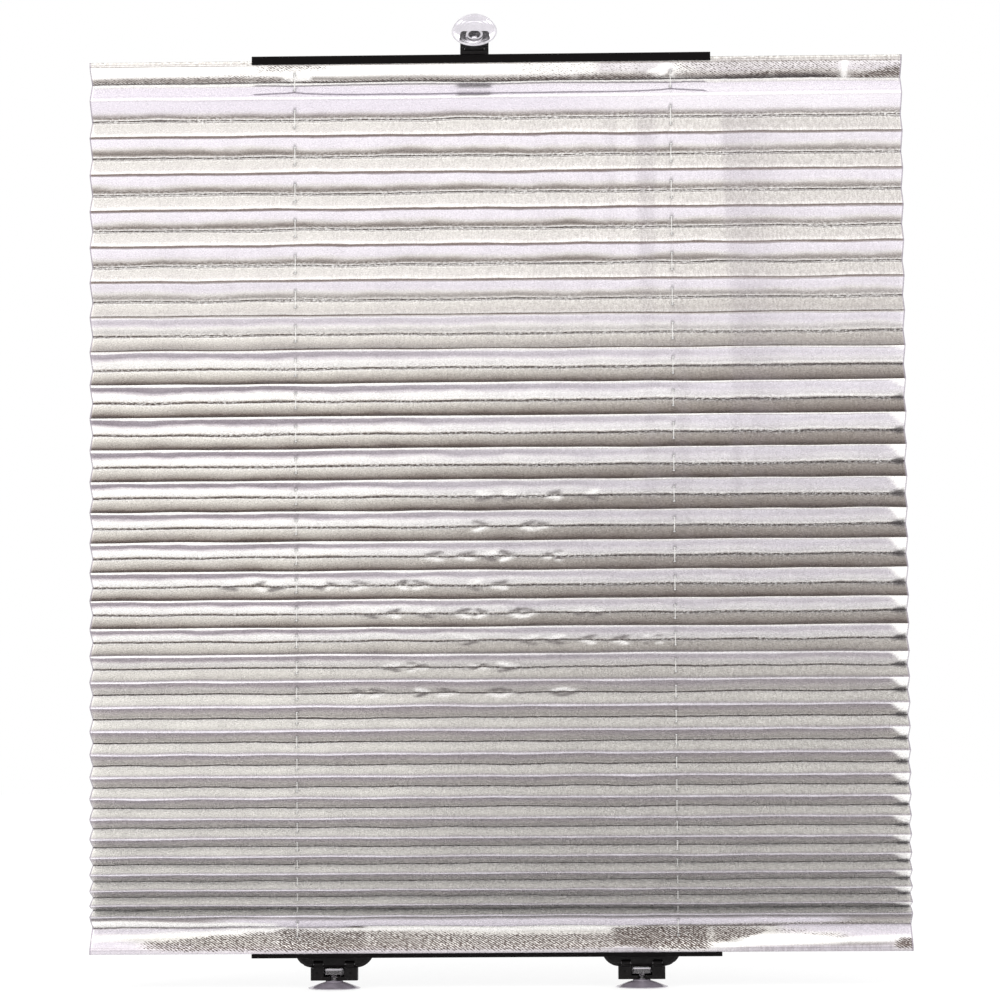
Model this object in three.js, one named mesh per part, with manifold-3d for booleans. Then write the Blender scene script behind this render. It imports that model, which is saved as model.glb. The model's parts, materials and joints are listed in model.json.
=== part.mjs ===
// A pull-out windscreen sunshade: a pleated silver film between a pull bar and a reel rail.
// Two spring reels behind the rail keep two cords taut, and the cords guide the pleats.
// Two suction cups swing on brackets under the reels, and a third one on a tab over the pull bar.
// Millimetres. +X to the right, +Y away from the silver side, +Z up, towards the pull bar.
// The origin lies midway between the two lower cups, on the plane of their lips.

import * as THREE from 'three';
import { mergeVertices } from 'three/addons/utils/BufferGeometryUtils.js';
import Module from 'manifold-3d';

// Clearances
const restGap = 0.3;
const pinGap = 0.25;
const swingGap = 0.4;

// How far a cutting tool runs past a face, and how far a joined solid reaches into its carrier
const overcut = 1;
const embed = 0.5;

// Sides of round forms, from broad ones to small bores
const broadSides = 20;
const pinSides = 16;
const smallSides = 12;
const cupSides = 24;
const filmHoleSides = 4;

// Pleated film
const filmWidth = 700;
const filmShiftX = 11;
const filmHeight = 766;
const filmGauge = 0.6;
const panelLength = 23.4;
const easingPleats = 30;
const pitchEase = 0.013;
const pitchEaseGrowth = 0.000278;
const lastPleatPitch = 9;
const lastTurnRise = 10;
const lastPanelRise = 22.1;
const hemHeight = 4;
const cordHoleRadius = 1.5;

// Cords
const cordSpacing = 324.6;
const cordRadius = 0.35;
const cordEyeRadius = 0.75;
const beadRadius = 1.4;
const beadHeight = 2;

// Lower suction cups
const cupSpacing = 262;
const cupRadius = 22.3;
const cupLipWidth = 1.3;
const cupLipThickness = 0.6;
const cupHollow = 3.6;
const cupBossRadius = 7.5;
const cupBossTop = 6.2;
const cupNeckRadius = 2.6;
const cupHeadRadius = 8;
const cupHeadHeight = 6.4;
const cupHeadDepth = 10;
const cupHeadRound = 1.2;

// Brackets of the lower cups
const bracketWidth = 40;
const bracketHeight = 10.5;
const bracketFront = 4;
const bracketBack = 10;
const bracketCorner = 1.6;
const ledgeThickness = 3.2;
const notchWidth = 17.6;
const markSpacing = 28.8;
const markRadius = 1;
const markDepth = 1.2;

// Hinges between the brackets and the reel cases
const hingeDrop = 3.2;
const hingeSetback = 0.2;
const hingePinRadius = 1.2;
const hingePinReach = 20.5;
const knuckleSpacing = 26.8;
const knuckleWidth = 7.6;
const knuckleRadius = 2.7;
const knuckleArmDepth = 4;

// Reel housings
const housingSpacing = 261.4;
const housingLength = 67.4;
const housingHeight = 22.2;
const housingFront = 3;
const housingDepth = 11.5;
const housingLowerRadius = 15;
const housingUpperRadius = 5;
const rimBevel = 2.4;
const rimBevelDepth = 1.6;
const housingWall = 1.2;
const housingFace = 1.5;
const coverThickness = 1.5;
const housingFloor = 6.6;

// Reels inside the housings, with places along the housing counted outwards from its middle
const reelRise = 13.8;
const spoolPlace = 8;
const spoolFlangeRadius = 6.9;
const spoolHubRadius = 3.6;
const cordWoundRadius = 5.6;
const drumPlace = -17;
const drumFlangeRadius = 6.6;
const drumCoreRadius = 3;
const flangeThickness = 0.55;
const cordTrackWidth = 3.2;
const postRadius = 1.4;
const storedCoilRadius = 6;
const drivenCoilRadius = 5;
const springBand = 0.4;
const guidePinRadius = 1.5;
const guideBossRadius = 2.5;

// Screws of the covers and of the tab's base
const screwPlaces = [{ name: 'outer', along: 21.5, rise: 17.8 }, { name: 'inner', along: -28, rise: 15.6 }];
const screwBossRadius = 2.2;
const screwHeadRadius = 1.9;
const screwHeadHeight = 0.8;
const screwShankRadius = 0.8;
const screwLength = 6.5;
const screwPointRound = 0.6;
const screwHeadRound = 0.2;

// Reel rail
const railLength = 400;
const railShiftX = -0.7;
const railRise = 8.6;
const railHeight = 7.3;
const railFront = 11;
const railLip = 3.8;
const rebateDepth = 1;
const railChamfer = 0.6;
const studRadius = 1.5;
const studPlaces = [21, -6];
const studReach = 2.4;

// Pull bar
const barLength = 395;
const barShiftX = -0.9;
const barHeight = 7.3;
const barDepth = 6;
const barOverlap = 3.6;
const barChamfer = 0.6;
const lugWidth = 8;
const lugReach = 2.4;
const lugDrop = 0.3;
const lugHeight = 5.2;

// Tab and cup over the pull bar
const tabShiftX = -6.35;
const tabWidth = 24.3;
const tabLength = 22;
const tabThickness = 2;
const tabCorner = 3;
const tabLean = 40;
const tabCupPlace = 13.5;
const tabBaseHeight = 3.1;
const tabBaseSetback = 0.5;
const tabKnuckleRadius = 1.6;
const tabKnuckleWidth = 16.6;
const tabPinRadius = 0.8;
const tabFlangeThickness = 1.4;
const tabFlangeDrop = 4.6;
const tabScrewSpacing = 14;
const tabScrewDrop = 1.7;
const tabScrewLength = 3.8;
const upperCupRadius = 19.5;
const upperCupDepth = 7.4;
const upperCupHollow = 4;
const upperCupBossRadius = 7.5;
const upperNeckRadius = 2.4;
const upperHeadRadius = 3.9;
const upperHeadHeight = 2;

// Levels, from the lips of the lower cups upwards
const bracketBottom = cupBossTop + restGap;
const bracketTop = bracketBottom + bracketHeight;
const ledgeTop = bracketBottom + ledgeThickness;
const hingeZ = bracketTop + hingeDrop;
const hingeY = -hingeSetback;
const housingBottom = bracketTop + swingGap;
const housingTop = housingBottom + housingHeight;
const reelZ = housingBottom + reelRise;
const railBottom = housingBottom + railRise;
const filmBottom = railBottom + railLip;
const filmTop = filmBottom + filmHeight;
const barBottom = filmTop - barOverlap;
const barTop = barBottom + barHeight;
const tabHingeZ = barTop + tabBaseHeight + tabKnuckleRadius + restGap;

// Depths, from the silver side backwards
const caseBack = housingDepth - housingFront - coverThickness - restGap;
const rebateFace = -railFront + rebateDepth;
const filmHemY = rebateFace - restGap - filmGauge / 2;
const trackFront = -housingFront + housingFace + restGap + flangeThickness;
const trackBack = trackFront + cordTrackWidth;
const bandFront = trackBack + flangeThickness;
const bandBack = caseBack - restGap - flangeThickness;

const wasm = await Module();
wasm.setup();

/** Merges equal corners and leaves out triangles that have shrunk to a line. */
function weld(geometry) {
  const bare = geometry.clone();
  bare.deleteAttribute('normal');
  bare.deleteAttribute('uv');
  const merged = mergeVertices(bare, 1e-4);
  const corners = [];
  for (let i = 0; i < merged.index.count; i += 3) {
    const [a, b, c] = [0, 1, 2].map((k) => merged.index.getX(i + k));
    if (a !== b && b !== c && c !== a) corners.push(a, b, c);
  }
  merged.setIndex(corners);
  return merged;
}

function toSolid(geometry) {
  const { attributes, index } = weld(geometry);
  return new wasm.Manifold(new wasm.Mesh({
    numProp: 3,
    vertProperties: new Float32Array(attributes.position.array),
    triVerts: new Uint32Array(index.array),
  }));
}

function toGeometry(solid) {
  const { numProp, vertProperties, triVerts } = solid.getMesh();
  const position = new Float32Array((vertProperties.length / numProp) * 3);
  for (let i = 0; i < position.length; i++) {
    position[i] = vertProperties[Math.floor(i / 3) * numProp + (i % 3)];
  }
  const geometry = new THREE.BufferGeometry();
  geometry.setAttribute('position', new THREE.BufferAttribute(position, 3));
  geometry.setIndex(Array.from(triVerts));
  return geometry;
}

function join(first, ...others) {
  return toGeometry(others.reduce((sum, other) => sum.add(toSolid(other)), toSolid(first)));
}

function cut(body, ...tools) {
  return toGeometry(tools.reduce((rest, tool) => rest.subtract(toSolid(tool)), toSolid(body)));
}

function common(first, second) {
  return toGeometry(toSolid(first).intersect(toSolid(second)));
}

function box([x0, x1], [y0, y1], [z0, z1]) {
  const geometry = new THREE.BoxGeometry(x1 - x0, y1 - y0, z1 - z0);
  return geometry.translate((x0 + x1) / 2, (y0 + y1) / 2, (z0 + z1) / 2);
}

/** A round bar along X, Y or Z through (x, y, z), between two values on that axis. */
function rod(axis, radius, [from, to], [x, y, z], sides = broadSides) {
  const geometry = new THREE.CylinderGeometry(radius, radius, to - from, sides);
  geometry.translate(0, (from + to) / 2, 0);
  if (axis === 'x') geometry.rotateZ(-Math.PI / 2);
  if (axis === 'z') geometry.rotateX(Math.PI / 2);
  return geometry.translate(x, y, z);
}

/** A profile of [radius, height] points, revolved about Y. */
function revolve(profile, sides) {
  const points = profile.map(([radius, height]) => new THREE.Vector2(radius, height));
  return weld(new THREE.LatheGeometry(points, sides));
}

/** A closed outline in (y, z), carried along X from one value to another. */
function alongX(outline, [from, to]) {
  const shape = new THREE.Shape(outline.map(([y, z]) => new THREE.Vector2(y, z)));
  const geometry = new THREE.ExtrudeGeometry(shape, { depth: to - from, bevelEnabled: false });
  const turn = new THREE.Matrix4().makeBasis(
    new THREE.Vector3(0, 1, 0), new THREE.Vector3(0, 0, 1), new THREE.Vector3(1, 0, 0));
  return geometry.applyMatrix4(turn).translate(from, 0, 0);
}

/** A shape in (x, z), carried along Y from the front to the back, with an optional bevel inside both rims. */
function alongY(shape, [front, back], bevel) {
  const rim = bevel ?? { size: 0, depth: 0 };
  const geometry = new THREE.ExtrudeGeometry(shape, {
    depth: back - front - 2 * rim.depth,
    bevelEnabled: rim.size > 0,
    bevelThickness: rim.depth,
    bevelSize: rim.size,
    bevelOffset: -rim.size,
    bevelSegments: 1,
    curveSegments: 6,
  });
  const turn = new THREE.Matrix4().makeBasis(
    new THREE.Vector3(1, 0, 0), new THREE.Vector3(0, 0, 1), new THREE.Vector3(0, -1, 0));
  return geometry.applyMatrix4(turn).translate(0, back - rim.depth, 0);
}

/** A shape in (x, y), carried along Z. */
function alongZ(shape, [low, high]) {
  const geometry = new THREE.ExtrudeGeometry(shape, {
    depth: high - low, bevelEnabled: false, curveSegments: 8,
  });
  return geometry.translate(0, 0, low);
}

/** The same piece for the left side: mirrored in X, with its triangles turned round again. */
function handed(geometry, side) {
  if (side > 0) return geometry;
  const mirrored = weld(geometry).scale(-1, 1, 1);
  const index = mirrored.index.array;
  for (let i = 0; i < index.length; i += 3) {
    [index[i], index[i + 1]] = [index[i + 1], index[i]];
  }
  return mirrored;
}

/** A four-sided outline with its corners cut at 45 degrees. */
function chamferedRectangle([y0, y1], [z0, z1], chamfer) {
  return [
    [y0 + chamfer, z0], [y1 - chamfer, z0], [y1, z0 + chamfer], [y1, z1 - chamfer],
    [y1 - chamfer, z1], [y0 + chamfer, z1], [y0, z1 - chamfer], [y0, z0 + chamfer],
  ];
}

/** Fold lines of the film as [y, z], from its bottom edge in the rail to its top edge in the bar. */
function filmFolds() {
  const shares = Array.from({ length: easingPleats },
    (_, i) => 1 - pitchEase * i - pitchEaseGrowth * i * i);
  const easedHeight = filmHeight - lastPanelRise - lastTurnRise - lastPleatPitch;
  const topPitch = easedHeight / shares.reduce((sum, share) => sum + share, 0);
  const halfPitches = shares.reverse().flatMap((share) => [share * topPitch / 2, share * topPitch / 2]);
  const rises = [lastPanelRise, lastTurnRise, lastPleatPitch / 2, lastPleatPitch / 2, ...halfPitches];
  const folds = [[filmHemY, filmBottom], [filmHemY, filmBottom + hemHeight]];
  let z = filmBottom;
  rises.forEach((rise, i) => {
    z += rise;
    const meanRise = (rise + (rises[i + 1] ?? rise)) / 2;
    const halfDepth = Math.sqrt(panelLength ** 2 - meanRise ** 2) / 2;
    folds.push([i % 2 === 0 ? halfDepth : -halfDepth, z]);
  });
  const [topY, topZ] = folds.pop();
  folds.push([topY, topZ - hemHeight], [topY, topZ]);
  return folds;
}

const folds = filmFolds();
const barY = folds.at(-1)[0];
const barFrontY = barY - barDepth / 2;
const barBackY = barY + barDepth / 2;

/** The pleated film, with a hole through every panel for each cord. */
function filmGeometry() {
  const front = folds.map(([y, z]) => [y - filmGauge / 2, z]);
  const back = folds.map(([y, z]) => [y + filmGauge / 2, z]).reverse();
  const left = filmShiftX - filmWidth / 2;
  const film = alongX([...front, ...back], [left, left + filmWidth]);
  const punches = [-1, 1].map((side) => rod('z', cordHoleRadius,
    [filmBottom + hemHeight, filmTop - hemHeight], [side * cordSpacing / 2, 0, 0], filmHoleSides));
  return cut(film, ...punches);
}

/** The reel rail, rebated for the film's bottom edge, with studs behind it for the reel cases. */
function railGeometry() {
  const back = -housingFront - restGap;
  const [bottom, top] = [railBottom, railBottom + railHeight];
  const outline = chamferedRectangle([-railFront, back], [bottom, top], railChamfer);
  const ends = [railShiftX - railLength / 2, railShiftX + railLength / 2];
  const rebate = box([ends[0] - overcut, ends[1] + overcut],
    [-railFront - overcut, rebateFace], [filmBottom - restGap, top + overcut]);
  const studs = [-1, 1].flatMap((side) => studPlaces.map((along) => rod('y', studRadius,
    [back - overcut, back + studReach],
    [side * (housingSpacing / 2 + along), 0, bottom + railHeight / 2], smallSides)));
  return join(cut(alongX(outline, ends), rebate), ...studs);
}

/** The pull bar: a slot in its underside grips the film, and two lugs behind it hold the cords' beads. */
function barGeometry() {
  const outline = chamferedRectangle([barFrontY, barBackY], [barBottom, barTop], barChamfer);
  const ends = [barShiftX - barLength / 2, barShiftX + barLength / 2];
  const slotHalf = filmGauge / 2 + restGap;
  const slot = box([ends[0] - overcut, ends[1] + overcut],
    [barY - slotHalf, barY + slotHalf], [barBottom - overcut, filmTop + restGap]);
  const lugTop = barTop - lugDrop;
  const lugs = [-1, 1].map((side) => {
    const x = side * cordSpacing / 2;
    return box([x - lugWidth / 2, x + lugWidth / 2],
      [barBackY - embed, lugReach], [lugTop - lugHeight, lugTop]);
  });
  const eyes = [-1, 1].flatMap((side) => {
    const centre = [side * cordSpacing / 2, 0, 0];
    return [
      rod('z', cordEyeRadius, [lugTop - lugHeight - overcut, lugTop + overcut], centre, smallSides),
      rod('z', beadRadius + restGap, [lugTop - beadHeight - restGap, lugTop + overcut], centre, pinSides),
    ];
  });
  const screwHoles = [-1, 1].map((side) => rod('y', screwShankRadius + restGap,
    [barBackY - tabScrewLength + tabFlangeThickness, barBackY + overcut],
    [tabShiftX + side * tabScrewSpacing / 2, 0, barTop - tabScrewDrop], smallSides));
  return cut(join(cut(alongX(outline, ends), slot), ...lugs), ...eyes, ...screwHoles);
}

/** The crimped bead that stops a cord in its lug. */
function beadGeometry() {
  const round = beadHeight / 4;
  const top = barTop - lugDrop;
  return revolve([
    [0, 0], [beadRadius - round, 0], [beadRadius, round], [beadRadius, beadHeight - round],
    [beadRadius - round, beadHeight], [0, beadHeight],
  ], pinSides).rotateX(Math.PI / 2).translate(0, 0, top - beadHeight);
}

/** The closed curve from a suction cup's hollow over its lip to its boss, as [radius, height] points. */
function cupSkirt(radius, bossRadius, bossTop, hollow, centreRadius) {
  const path = new THREE.Path();
  path.moveTo(0, hollow);
  path.bezierCurveTo(centreRadius, hollow, radius * 0.72, hollow * 0.35, radius - cupLipWidth, 0);
  path.lineTo(radius, 0);
  path.lineTo(radius, cupLipThickness);
  path.bezierCurveTo(radius * 0.78, bossTop * 0.28, radius * 0.6, bossTop * 0.66,
    bossRadius, bossTop * 0.84);
  path.lineTo(bossRadius, bossTop);
  return path.getPoints(5).map(({ x, y }) => [x, y]);
}

/** A lower suction cup, lip down: skirt, boss, neck and a broad head, flat in front and behind. */
function lowerCupGeometry() {
  const headBottom = ledgeTop + restGap;
  const headTop = headBottom + cupHeadHeight;
  const profile = [
    ...cupSkirt(cupRadius, cupBossRadius, cupBossTop, cupHollow, cupRadius * 0.4),
    [cupNeckRadius, cupBossTop], [cupNeckRadius, headBottom],
    [cupHeadRadius, headBottom + cupHeadRound / 2], [cupHeadRadius, headTop - cupHeadRound],
    [cupHeadRadius - cupHeadRound, headTop], [0, headTop],
  ];
  const flats = [[-cupHeadRadius - overcut, -cupHeadDepth / 2], [cupHeadDepth / 2, cupHeadRadius + overcut]]
    .map((depth) => box([-cupHeadRadius - overcut, cupHeadRadius + overcut], depth,
      [headBottom - restGap / 2, headTop + overcut]));
  return cut(revolve(profile, cupSides).rotateX(Math.PI / 2), ...flats);
}

/** The upper suction cup, facing -Y from the tab's front: its button head lies behind the tab. */
function upperCupGeometry() {
  const neckTop = upperCupDepth + 2 * restGap + tabThickness;
  const headTop = neckTop + upperHeadHeight;
  const round = upperHeadHeight / 2;
  const profile = [
    ...cupSkirt(upperCupRadius, upperCupBossRadius, upperCupDepth, upperCupHollow,
      upperCupRadius * 0.4),
    [upperNeckRadius, upperCupDepth], [upperNeckRadius, neckTop],
    [upperHeadRadius, neckTop], [upperHeadRadius, headTop - round],
    [upperHeadRadius - round, headTop], [0, headTop],
  ];
  return revolve(profile, cupSides).translate(0, -tabThickness / 2 - restGap - upperCupDepth, tabCupPlace);
}

/** A slot seen from above: straight sides to the front, and a half-round end about the cup's axis. */
function slotShape(width, front) {
  const shape = new THREE.Shape();
  shape.moveTo(-width / 2, front);
  shape.lineTo(width / 2, front);
  shape.absarc(0, 0, width / 2, 0, Math.PI);
  return shape;
}

/** The bracket: a notched block that holds the cup's head over a slotted ledge, with two knuckles. */
function bracketGeometry() {
  const half = bracketWidth / 2;
  const plan = new THREE.Shape();
  plan.moveTo(-half + bracketCorner, -bracketFront);
  plan.absarc(half - bracketCorner, -bracketFront + bracketCorner, bracketCorner, -Math.PI / 2, 0);
  plan.absarc(half - bracketCorner, bracketBack - bracketCorner, bracketCorner, 0, Math.PI / 2);
  plan.absarc(-half + bracketCorner, bracketBack - bracketCorner, bracketCorner, Math.PI / 2, Math.PI);
  plan.absarc(-half + bracketCorner, -bracketFront + bracketCorner, bracketCorner, Math.PI, 1.5 * Math.PI);
  const block = alongZ(plan, [bracketBottom, bracketTop]);
  const slotFront = -bracketFront - overcut;
  const notch = alongZ(slotShape(notchWidth, slotFront), [ledgeTop, bracketTop + overcut]);
  const neckSlot = alongZ(slotShape(2 * (cupNeckRadius + restGap), slotFront),
    [bracketBottom - overcut, ledgeTop + overcut]);
  const marks = [-1, 1].map((side) => rod('y', markRadius, [slotFront, -bracketFront + markDepth],
    [side * markSpacing / 2, 0, (ledgeTop + bracketTop) / 2], smallSides));
  const knuckles = [-1, 1].flatMap((side) => {
    const x = side * knuckleSpacing / 2;
    const across = [x - knuckleWidth / 2, x + knuckleWidth / 2];
    return [
      rod('x', knuckleRadius, across, [0, hingeY, hingeZ]),
      box(across, [hingeY - knuckleArmDepth / 2, hingeY + knuckleArmDepth / 2],
        [bracketTop - embed, hingeZ]),
    ];
  });
  const bore = rod('x', hingePinRadius + pinGap, [-half, half], [0, hingeY, hingeZ], pinSides);
  return cut(join(cut(block, notch, neckSlot, ...marks), ...knuckles), bore);
}

/** The housing's outline in (x, z): deep round lower corners and small upper ones, drawn in by inset. */
function housingShape(inset, bottom = housingBottom + inset) {
  const half = housingLength / 2 - inset;
  const top = housingTop - inset;
  const lower = housingLowerRadius - inset;
  const upper = housingUpperRadius - inset;
  const shape = new THREE.Shape();
  const start = Math.asin(Math.min(1, (housingBottom + housingLowerRadius - bottom) / lower));
  const lowerZ = housingBottom + housingLowerRadius;
  shape.absarc(half - lower, lowerZ, lower, -start, 0);
  shape.absarc(half - upper, top - upper, upper, 0, Math.PI / 2);
  shape.absarc(-half + upper, top - upper, upper, Math.PI / 2, Math.PI);
  shape.absarc(-half + lower, lowerZ, lower, Math.PI, Math.PI + start);
  return shape;
}

/** The whole housing, bevelled round its front and back rims. The case and the cover are cut from it. */
function housingBlock() {
  return alongY(housingShape(0), [-housingFront, housingDepth - housingFront],
    { size: rimBevel, depth: rimBevelDepth });
}

const cordPlace = (cordSpacing - housingSpacing) / 2;
const footPlace = (cupSpacing - housingSpacing) / 2;
const guidePlace = cordPlace - guidePinRadius - restGap / 2 - cordRadius;
const windowReach = knuckleRadius + swingGap;

/** The moulded case: reel posts, screw bosses, a floor bored for the hinge pin and two knuckle windows. */
function caseGeometry() {
  const half = housingLength / 2;
  const inner = -housingFront + housingFace;
  const frontHalf = box([-half, half], [-housingFront, caseBack], [housingBottom, housingTop]);
  const cavity = alongY(housingShape(housingWall, housingBottom + housingFloor),
    [inner, caseBack + overcut]);
  const windows = [-1, 1].map((side) => {
    const x = footPlace + side * knuckleSpacing / 2;
    const reach = knuckleWidth / 2 + swingGap;
    return box([x - reach, x + reach], [-housingFront - overcut, hingeY + windowReach],
      [housingBottom - overcut, hingeZ + windowReach]);
  });
  const pinBore = rod('x', hingePinRadius + pinGap, [-hingePinReach - pinGap, half],
    [0, hingeY, hingeZ], pinSides);
  const studHoles = studPlaces.map((along) => rod('y', studRadius + restGap,
    [-housingFront - overcut, inner + overcut], [along, 0, railBottom + railHeight / 2], smallSides));
  const cordNotch = box([cordPlace - cordEyeRadius, cordPlace + cordEyeRadius],
    [-cordEyeRadius, caseBack + overcut], [housingTop - housingUpperRadius, housingTop + overcut]);
  const shell = cut(common(housingBlock(), frontHalf), cavity, ...windows, pinBore, ...studHoles, cordNotch);
  const posts = [spoolPlace, drumPlace].map((along) => rod('y', postRadius,
    [inner - embed, caseBack - restGap], [along, 0, reelZ], smallSides));
  const bosses = screwPlaces.map(({ along, rise }) => rod('y', screwBossRadius,
    [inner - embed, caseBack], [along, 0, housingBottom + rise], smallSides));
  const guideBoss = rod('y', guideBossRadius, [inner - embed, -cordRadius - restGap],
    [guidePlace, 0, reelZ]);
  const pilots = screwPlaces.map(({ along, rise }) => rod('y', screwShankRadius + pinGap,
    [caseBack - screwLength, caseBack + overcut], [along, 0, housingBottom + rise], smallSides));
  const guideSeat = rod('y', guidePinRadius + pinGap, [inner, 0], [guidePlace, 0, reelZ], pinSides);
  return cut(join(shell, ...posts, ...bosses, guideBoss), ...pilots, guideSeat);
}

/** The case's back cover, countersunk for its two screws, with a socket for the guide pin. */
function coverGeometry() {
  const half = housingLength / 2;
  const back = housingDepth - housingFront;
  const front = back - coverThickness;
  const plate = common(housingBlock(), box([-half, half], [front, back], [housingBottom, housingTop]));
  const centre = [guidePlace, 0, reelZ];
  const socket = rod('y', guideBossRadius, [bandFront, front + embed], centre);
  const socketBore = rod('y', guidePinRadius + pinGap, [bandFront - overcut, front], centre, pinSides);
  const sinks = screwPlaces.flatMap(({ along, rise }) => {
    const place = [along, 0, housingBottom + rise];
    return [
      rod('y', screwShankRadius + restGap, [front - overcut, back + overcut], place, smallSides),
      rod('y', screwHeadRadius + restGap,
        [back - screwHeadHeight - restGap, back + overcut], place, pinSides),
    ];
  });
  return cut(join(plate, socket), socketBore, ...sinks);
}

/** The cord spool: one track for the cord in front, one for the spring's driven coil behind. */
function spoolGeometry() {
  const bore = postRadius + pinGap;
  const wound = cordWoundRadius;
  return revolve([
    [bore, trackFront - flangeThickness], [spoolFlangeRadius, trackFront - flangeThickness],
    [spoolFlangeRadius, trackFront], [wound, trackFront], [wound, trackBack],
    [spoolFlangeRadius, trackBack], [spoolFlangeRadius, bandFront], [spoolHubRadius, bandFront],
    [spoolHubRadius, bandBack], [spoolFlangeRadius, bandBack],
    [spoolFlangeRadius, bandBack + flangeThickness], [bore, bandBack + flangeThickness],
    [bore, trackFront - flangeThickness],
  ], broadSides).translate(spoolPlace, 0, reelZ);
}

/** The drum that the spring is stored on. */
function drumGeometry() {
  const bore = postRadius + pinGap;
  return revolve([
    [bore, trackBack], [drumFlangeRadius, trackBack], [drumFlangeRadius, bandFront],
    [drumCoreRadius, bandFront], [drumCoreRadius, bandBack], [drumFlangeRadius, bandBack],
    [drumFlangeRadius, bandBack + flangeThickness], [bore, bandBack + flangeThickness],
    [bore, trackBack],
  ], broadSides).translate(drumPlace, 0, reelZ);
}

/** The unit normal of a line that touches two circles, from the cosine between it and their centres. */
function tangentNormal([x0, z0], [x1, z1], rise) {
  const distance = Math.hypot(x1 - x0, z1 - z0);
  const angle = Math.atan2(z1 - z0, x1 - x0) + Math.acos(rise / distance);
  return [Math.cos(angle), Math.sin(angle)];
}

/** The spring: a coil stored on the drum, a coil on the spool, and the band that crosses between them. */
function springGeometry() {
  const across = [bandFront + restGap, bandBack - restGap];
  const ring = (inner, outer, along) => revolve([
    [inner, across[0]], [outer, across[0]], [outer, across[1]], [inner, across[1]], [inner, across[0]],
  ], broadSides).translate(along, 0, reelZ);
  const stored = storedCoilRadius - springBand;
  const driven = drivenCoilRadius - springBand;
  const [nx, nz] = tangentNormal([drumPlace, reelZ], [spoolPlace, reelZ], stored + driven);
  const from = [drumPlace + stored * nx, reelZ + stored * nz];
  const to = [spoolPlace - driven * nx, reelZ - driven * nz];
  const band = new THREE.Shape([
    new THREE.Vector2(from[0], from[1]), new THREE.Vector2(to[0], to[1]),
    new THREE.Vector2(to[0] + springBand * nx, to[1] + springBand * nz),
    new THREE.Vector2(from[0] + springBand * nx, from[1] + springBand * nz),
  ]);
  return join(ring(drumCoreRadius + restGap, storedCoilRadius, drumPlace),
    ring(spoolHubRadius + restGap, drivenCoilRadius, spoolPlace), alongY(band, across));
}

/** A route through listed points, with its steps at the points. */
class Route extends THREE.Curve {
  constructor(points) {
    super();
    this.points = points;
  }

  getPoint(t) {
    const last = this.points.length - 1;
    const at = Math.min(last - 1, Math.floor(t * last));
    return this.points[at].clone().lerp(this.points[at + 1], t * last - at);
  }

  getPointAt(t) {
    return this.getPoint(t);
  }

  getTangentAt(t) {
    return this.getTangent(t);
  }
}

/** The cord: off the spool's underside, round the guide pin, and straight up to its bead. */
function cordGeometry() {
  const guideReach = guidePinRadius + restGap / 2 + cordRadius;
  const spoolReach = cordWoundRadius + restGap + cordRadius;
  const [nx, nz] = tangentNormal([spoolPlace, reelZ], [guidePlace, reelZ], guideReach - spoolReach);
  const points = [new THREE.Vector3(spoolPlace - spoolReach * nx, 0, reelZ - spoolReach * nz)];
  const turnSteps = 6;
  const startAngle = Math.atan2(-nz, -nx);
  for (let i = 0; i <= turnSteps; i++) {
    const angle = startAngle * (1 - i / turnSteps);
    points.push(new THREE.Vector3(
      guidePlace + guideReach * Math.cos(angle), 0, reelZ + guideReach * Math.sin(angle)));
  }
  const topZ = barTop - lugDrop - beadHeight - restGap;
  points.push(new THREE.Vector3(cordPlace, 0, topZ));
  const section = new THREE.Shape().absarc(0, 0, cordRadius, 0, 2 * Math.PI);
  return new THREE.ExtrudeGeometry(section, {
    steps: points.length - 1, curveSegments: 4, extrudePath: new Route(points),
  });
}

/** A flat-headed screw along Y, with its head at the back. */
function screwGeometry(length) {
  return revolve([
    [0, -length], [screwShankRadius / 2, -length], [screwShankRadius, -length + screwPointRound],
    [screwShankRadius, -screwHeadHeight], [screwHeadRadius, -screwHeadHeight],
    [screwHeadRadius, -screwHeadRound], [screwHeadRadius - screwHeadRound, 0], [0, 0],
  ], smallSides);
}

/** The tab's base: a saddle on the bar with a flange behind it, a rest for the leaning tab and two ears. */
function tabBaseGeometry() {
  const half = tabWidth / 2;
  const seat = barTop + restGap;
  const top = seat + tabBaseHeight - restGap;
  const flangeFront = barBackY + restGap;
  const flangeBack = flangeFront + tabFlangeThickness;
  const lean = THREE.MathUtils.degToRad(tabLean);
  const restOffset = tabThickness / 2 + restGap;
  const restZ = (y) => tabHingeZ - restOffset / Math.sin(lean)
    + (y - barY) / Math.tan(lean);
  const outline = [
    [barFrontY + tabBaseSetback, seat], [flangeFront, seat], [flangeFront, seat - tabFlangeDrop],
    [flangeBack, seat - tabFlangeDrop], [flangeBack, restZ(flangeBack)], [flangeFront, restZ(flangeFront)],
    [flangeFront, top], [barFrontY + tabBaseSetback, top],
  ];
  const saddle = alongX(outline, [-half, half]);
  const earInner = tabKnuckleWidth / 2 + restGap;
  const ears = [[earInner, half], [-half, -earInner]].flatMap((across) => [
    rod('x', tabKnuckleRadius, across, [0, barY, tabHingeZ], pinSides),
    box(across, [barY - tabKnuckleRadius, barY + tabKnuckleRadius], [top - embed, tabHingeZ]),
  ]);
  const bore = rod('x', tabPinRadius + pinGap, [-half - overcut, half + overcut],
    [0, barY, tabHingeZ], smallSides);
  const screwHoles = [-1, 1].map((side) => rod('y', screwShankRadius + restGap,
    [flangeFront - overcut, flangeBack + overcut],
    [side * tabScrewSpacing / 2, 0, barTop - tabScrewDrop], smallSides));
  return cut(join(saddle, ...ears), bore, ...screwHoles);
}

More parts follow.
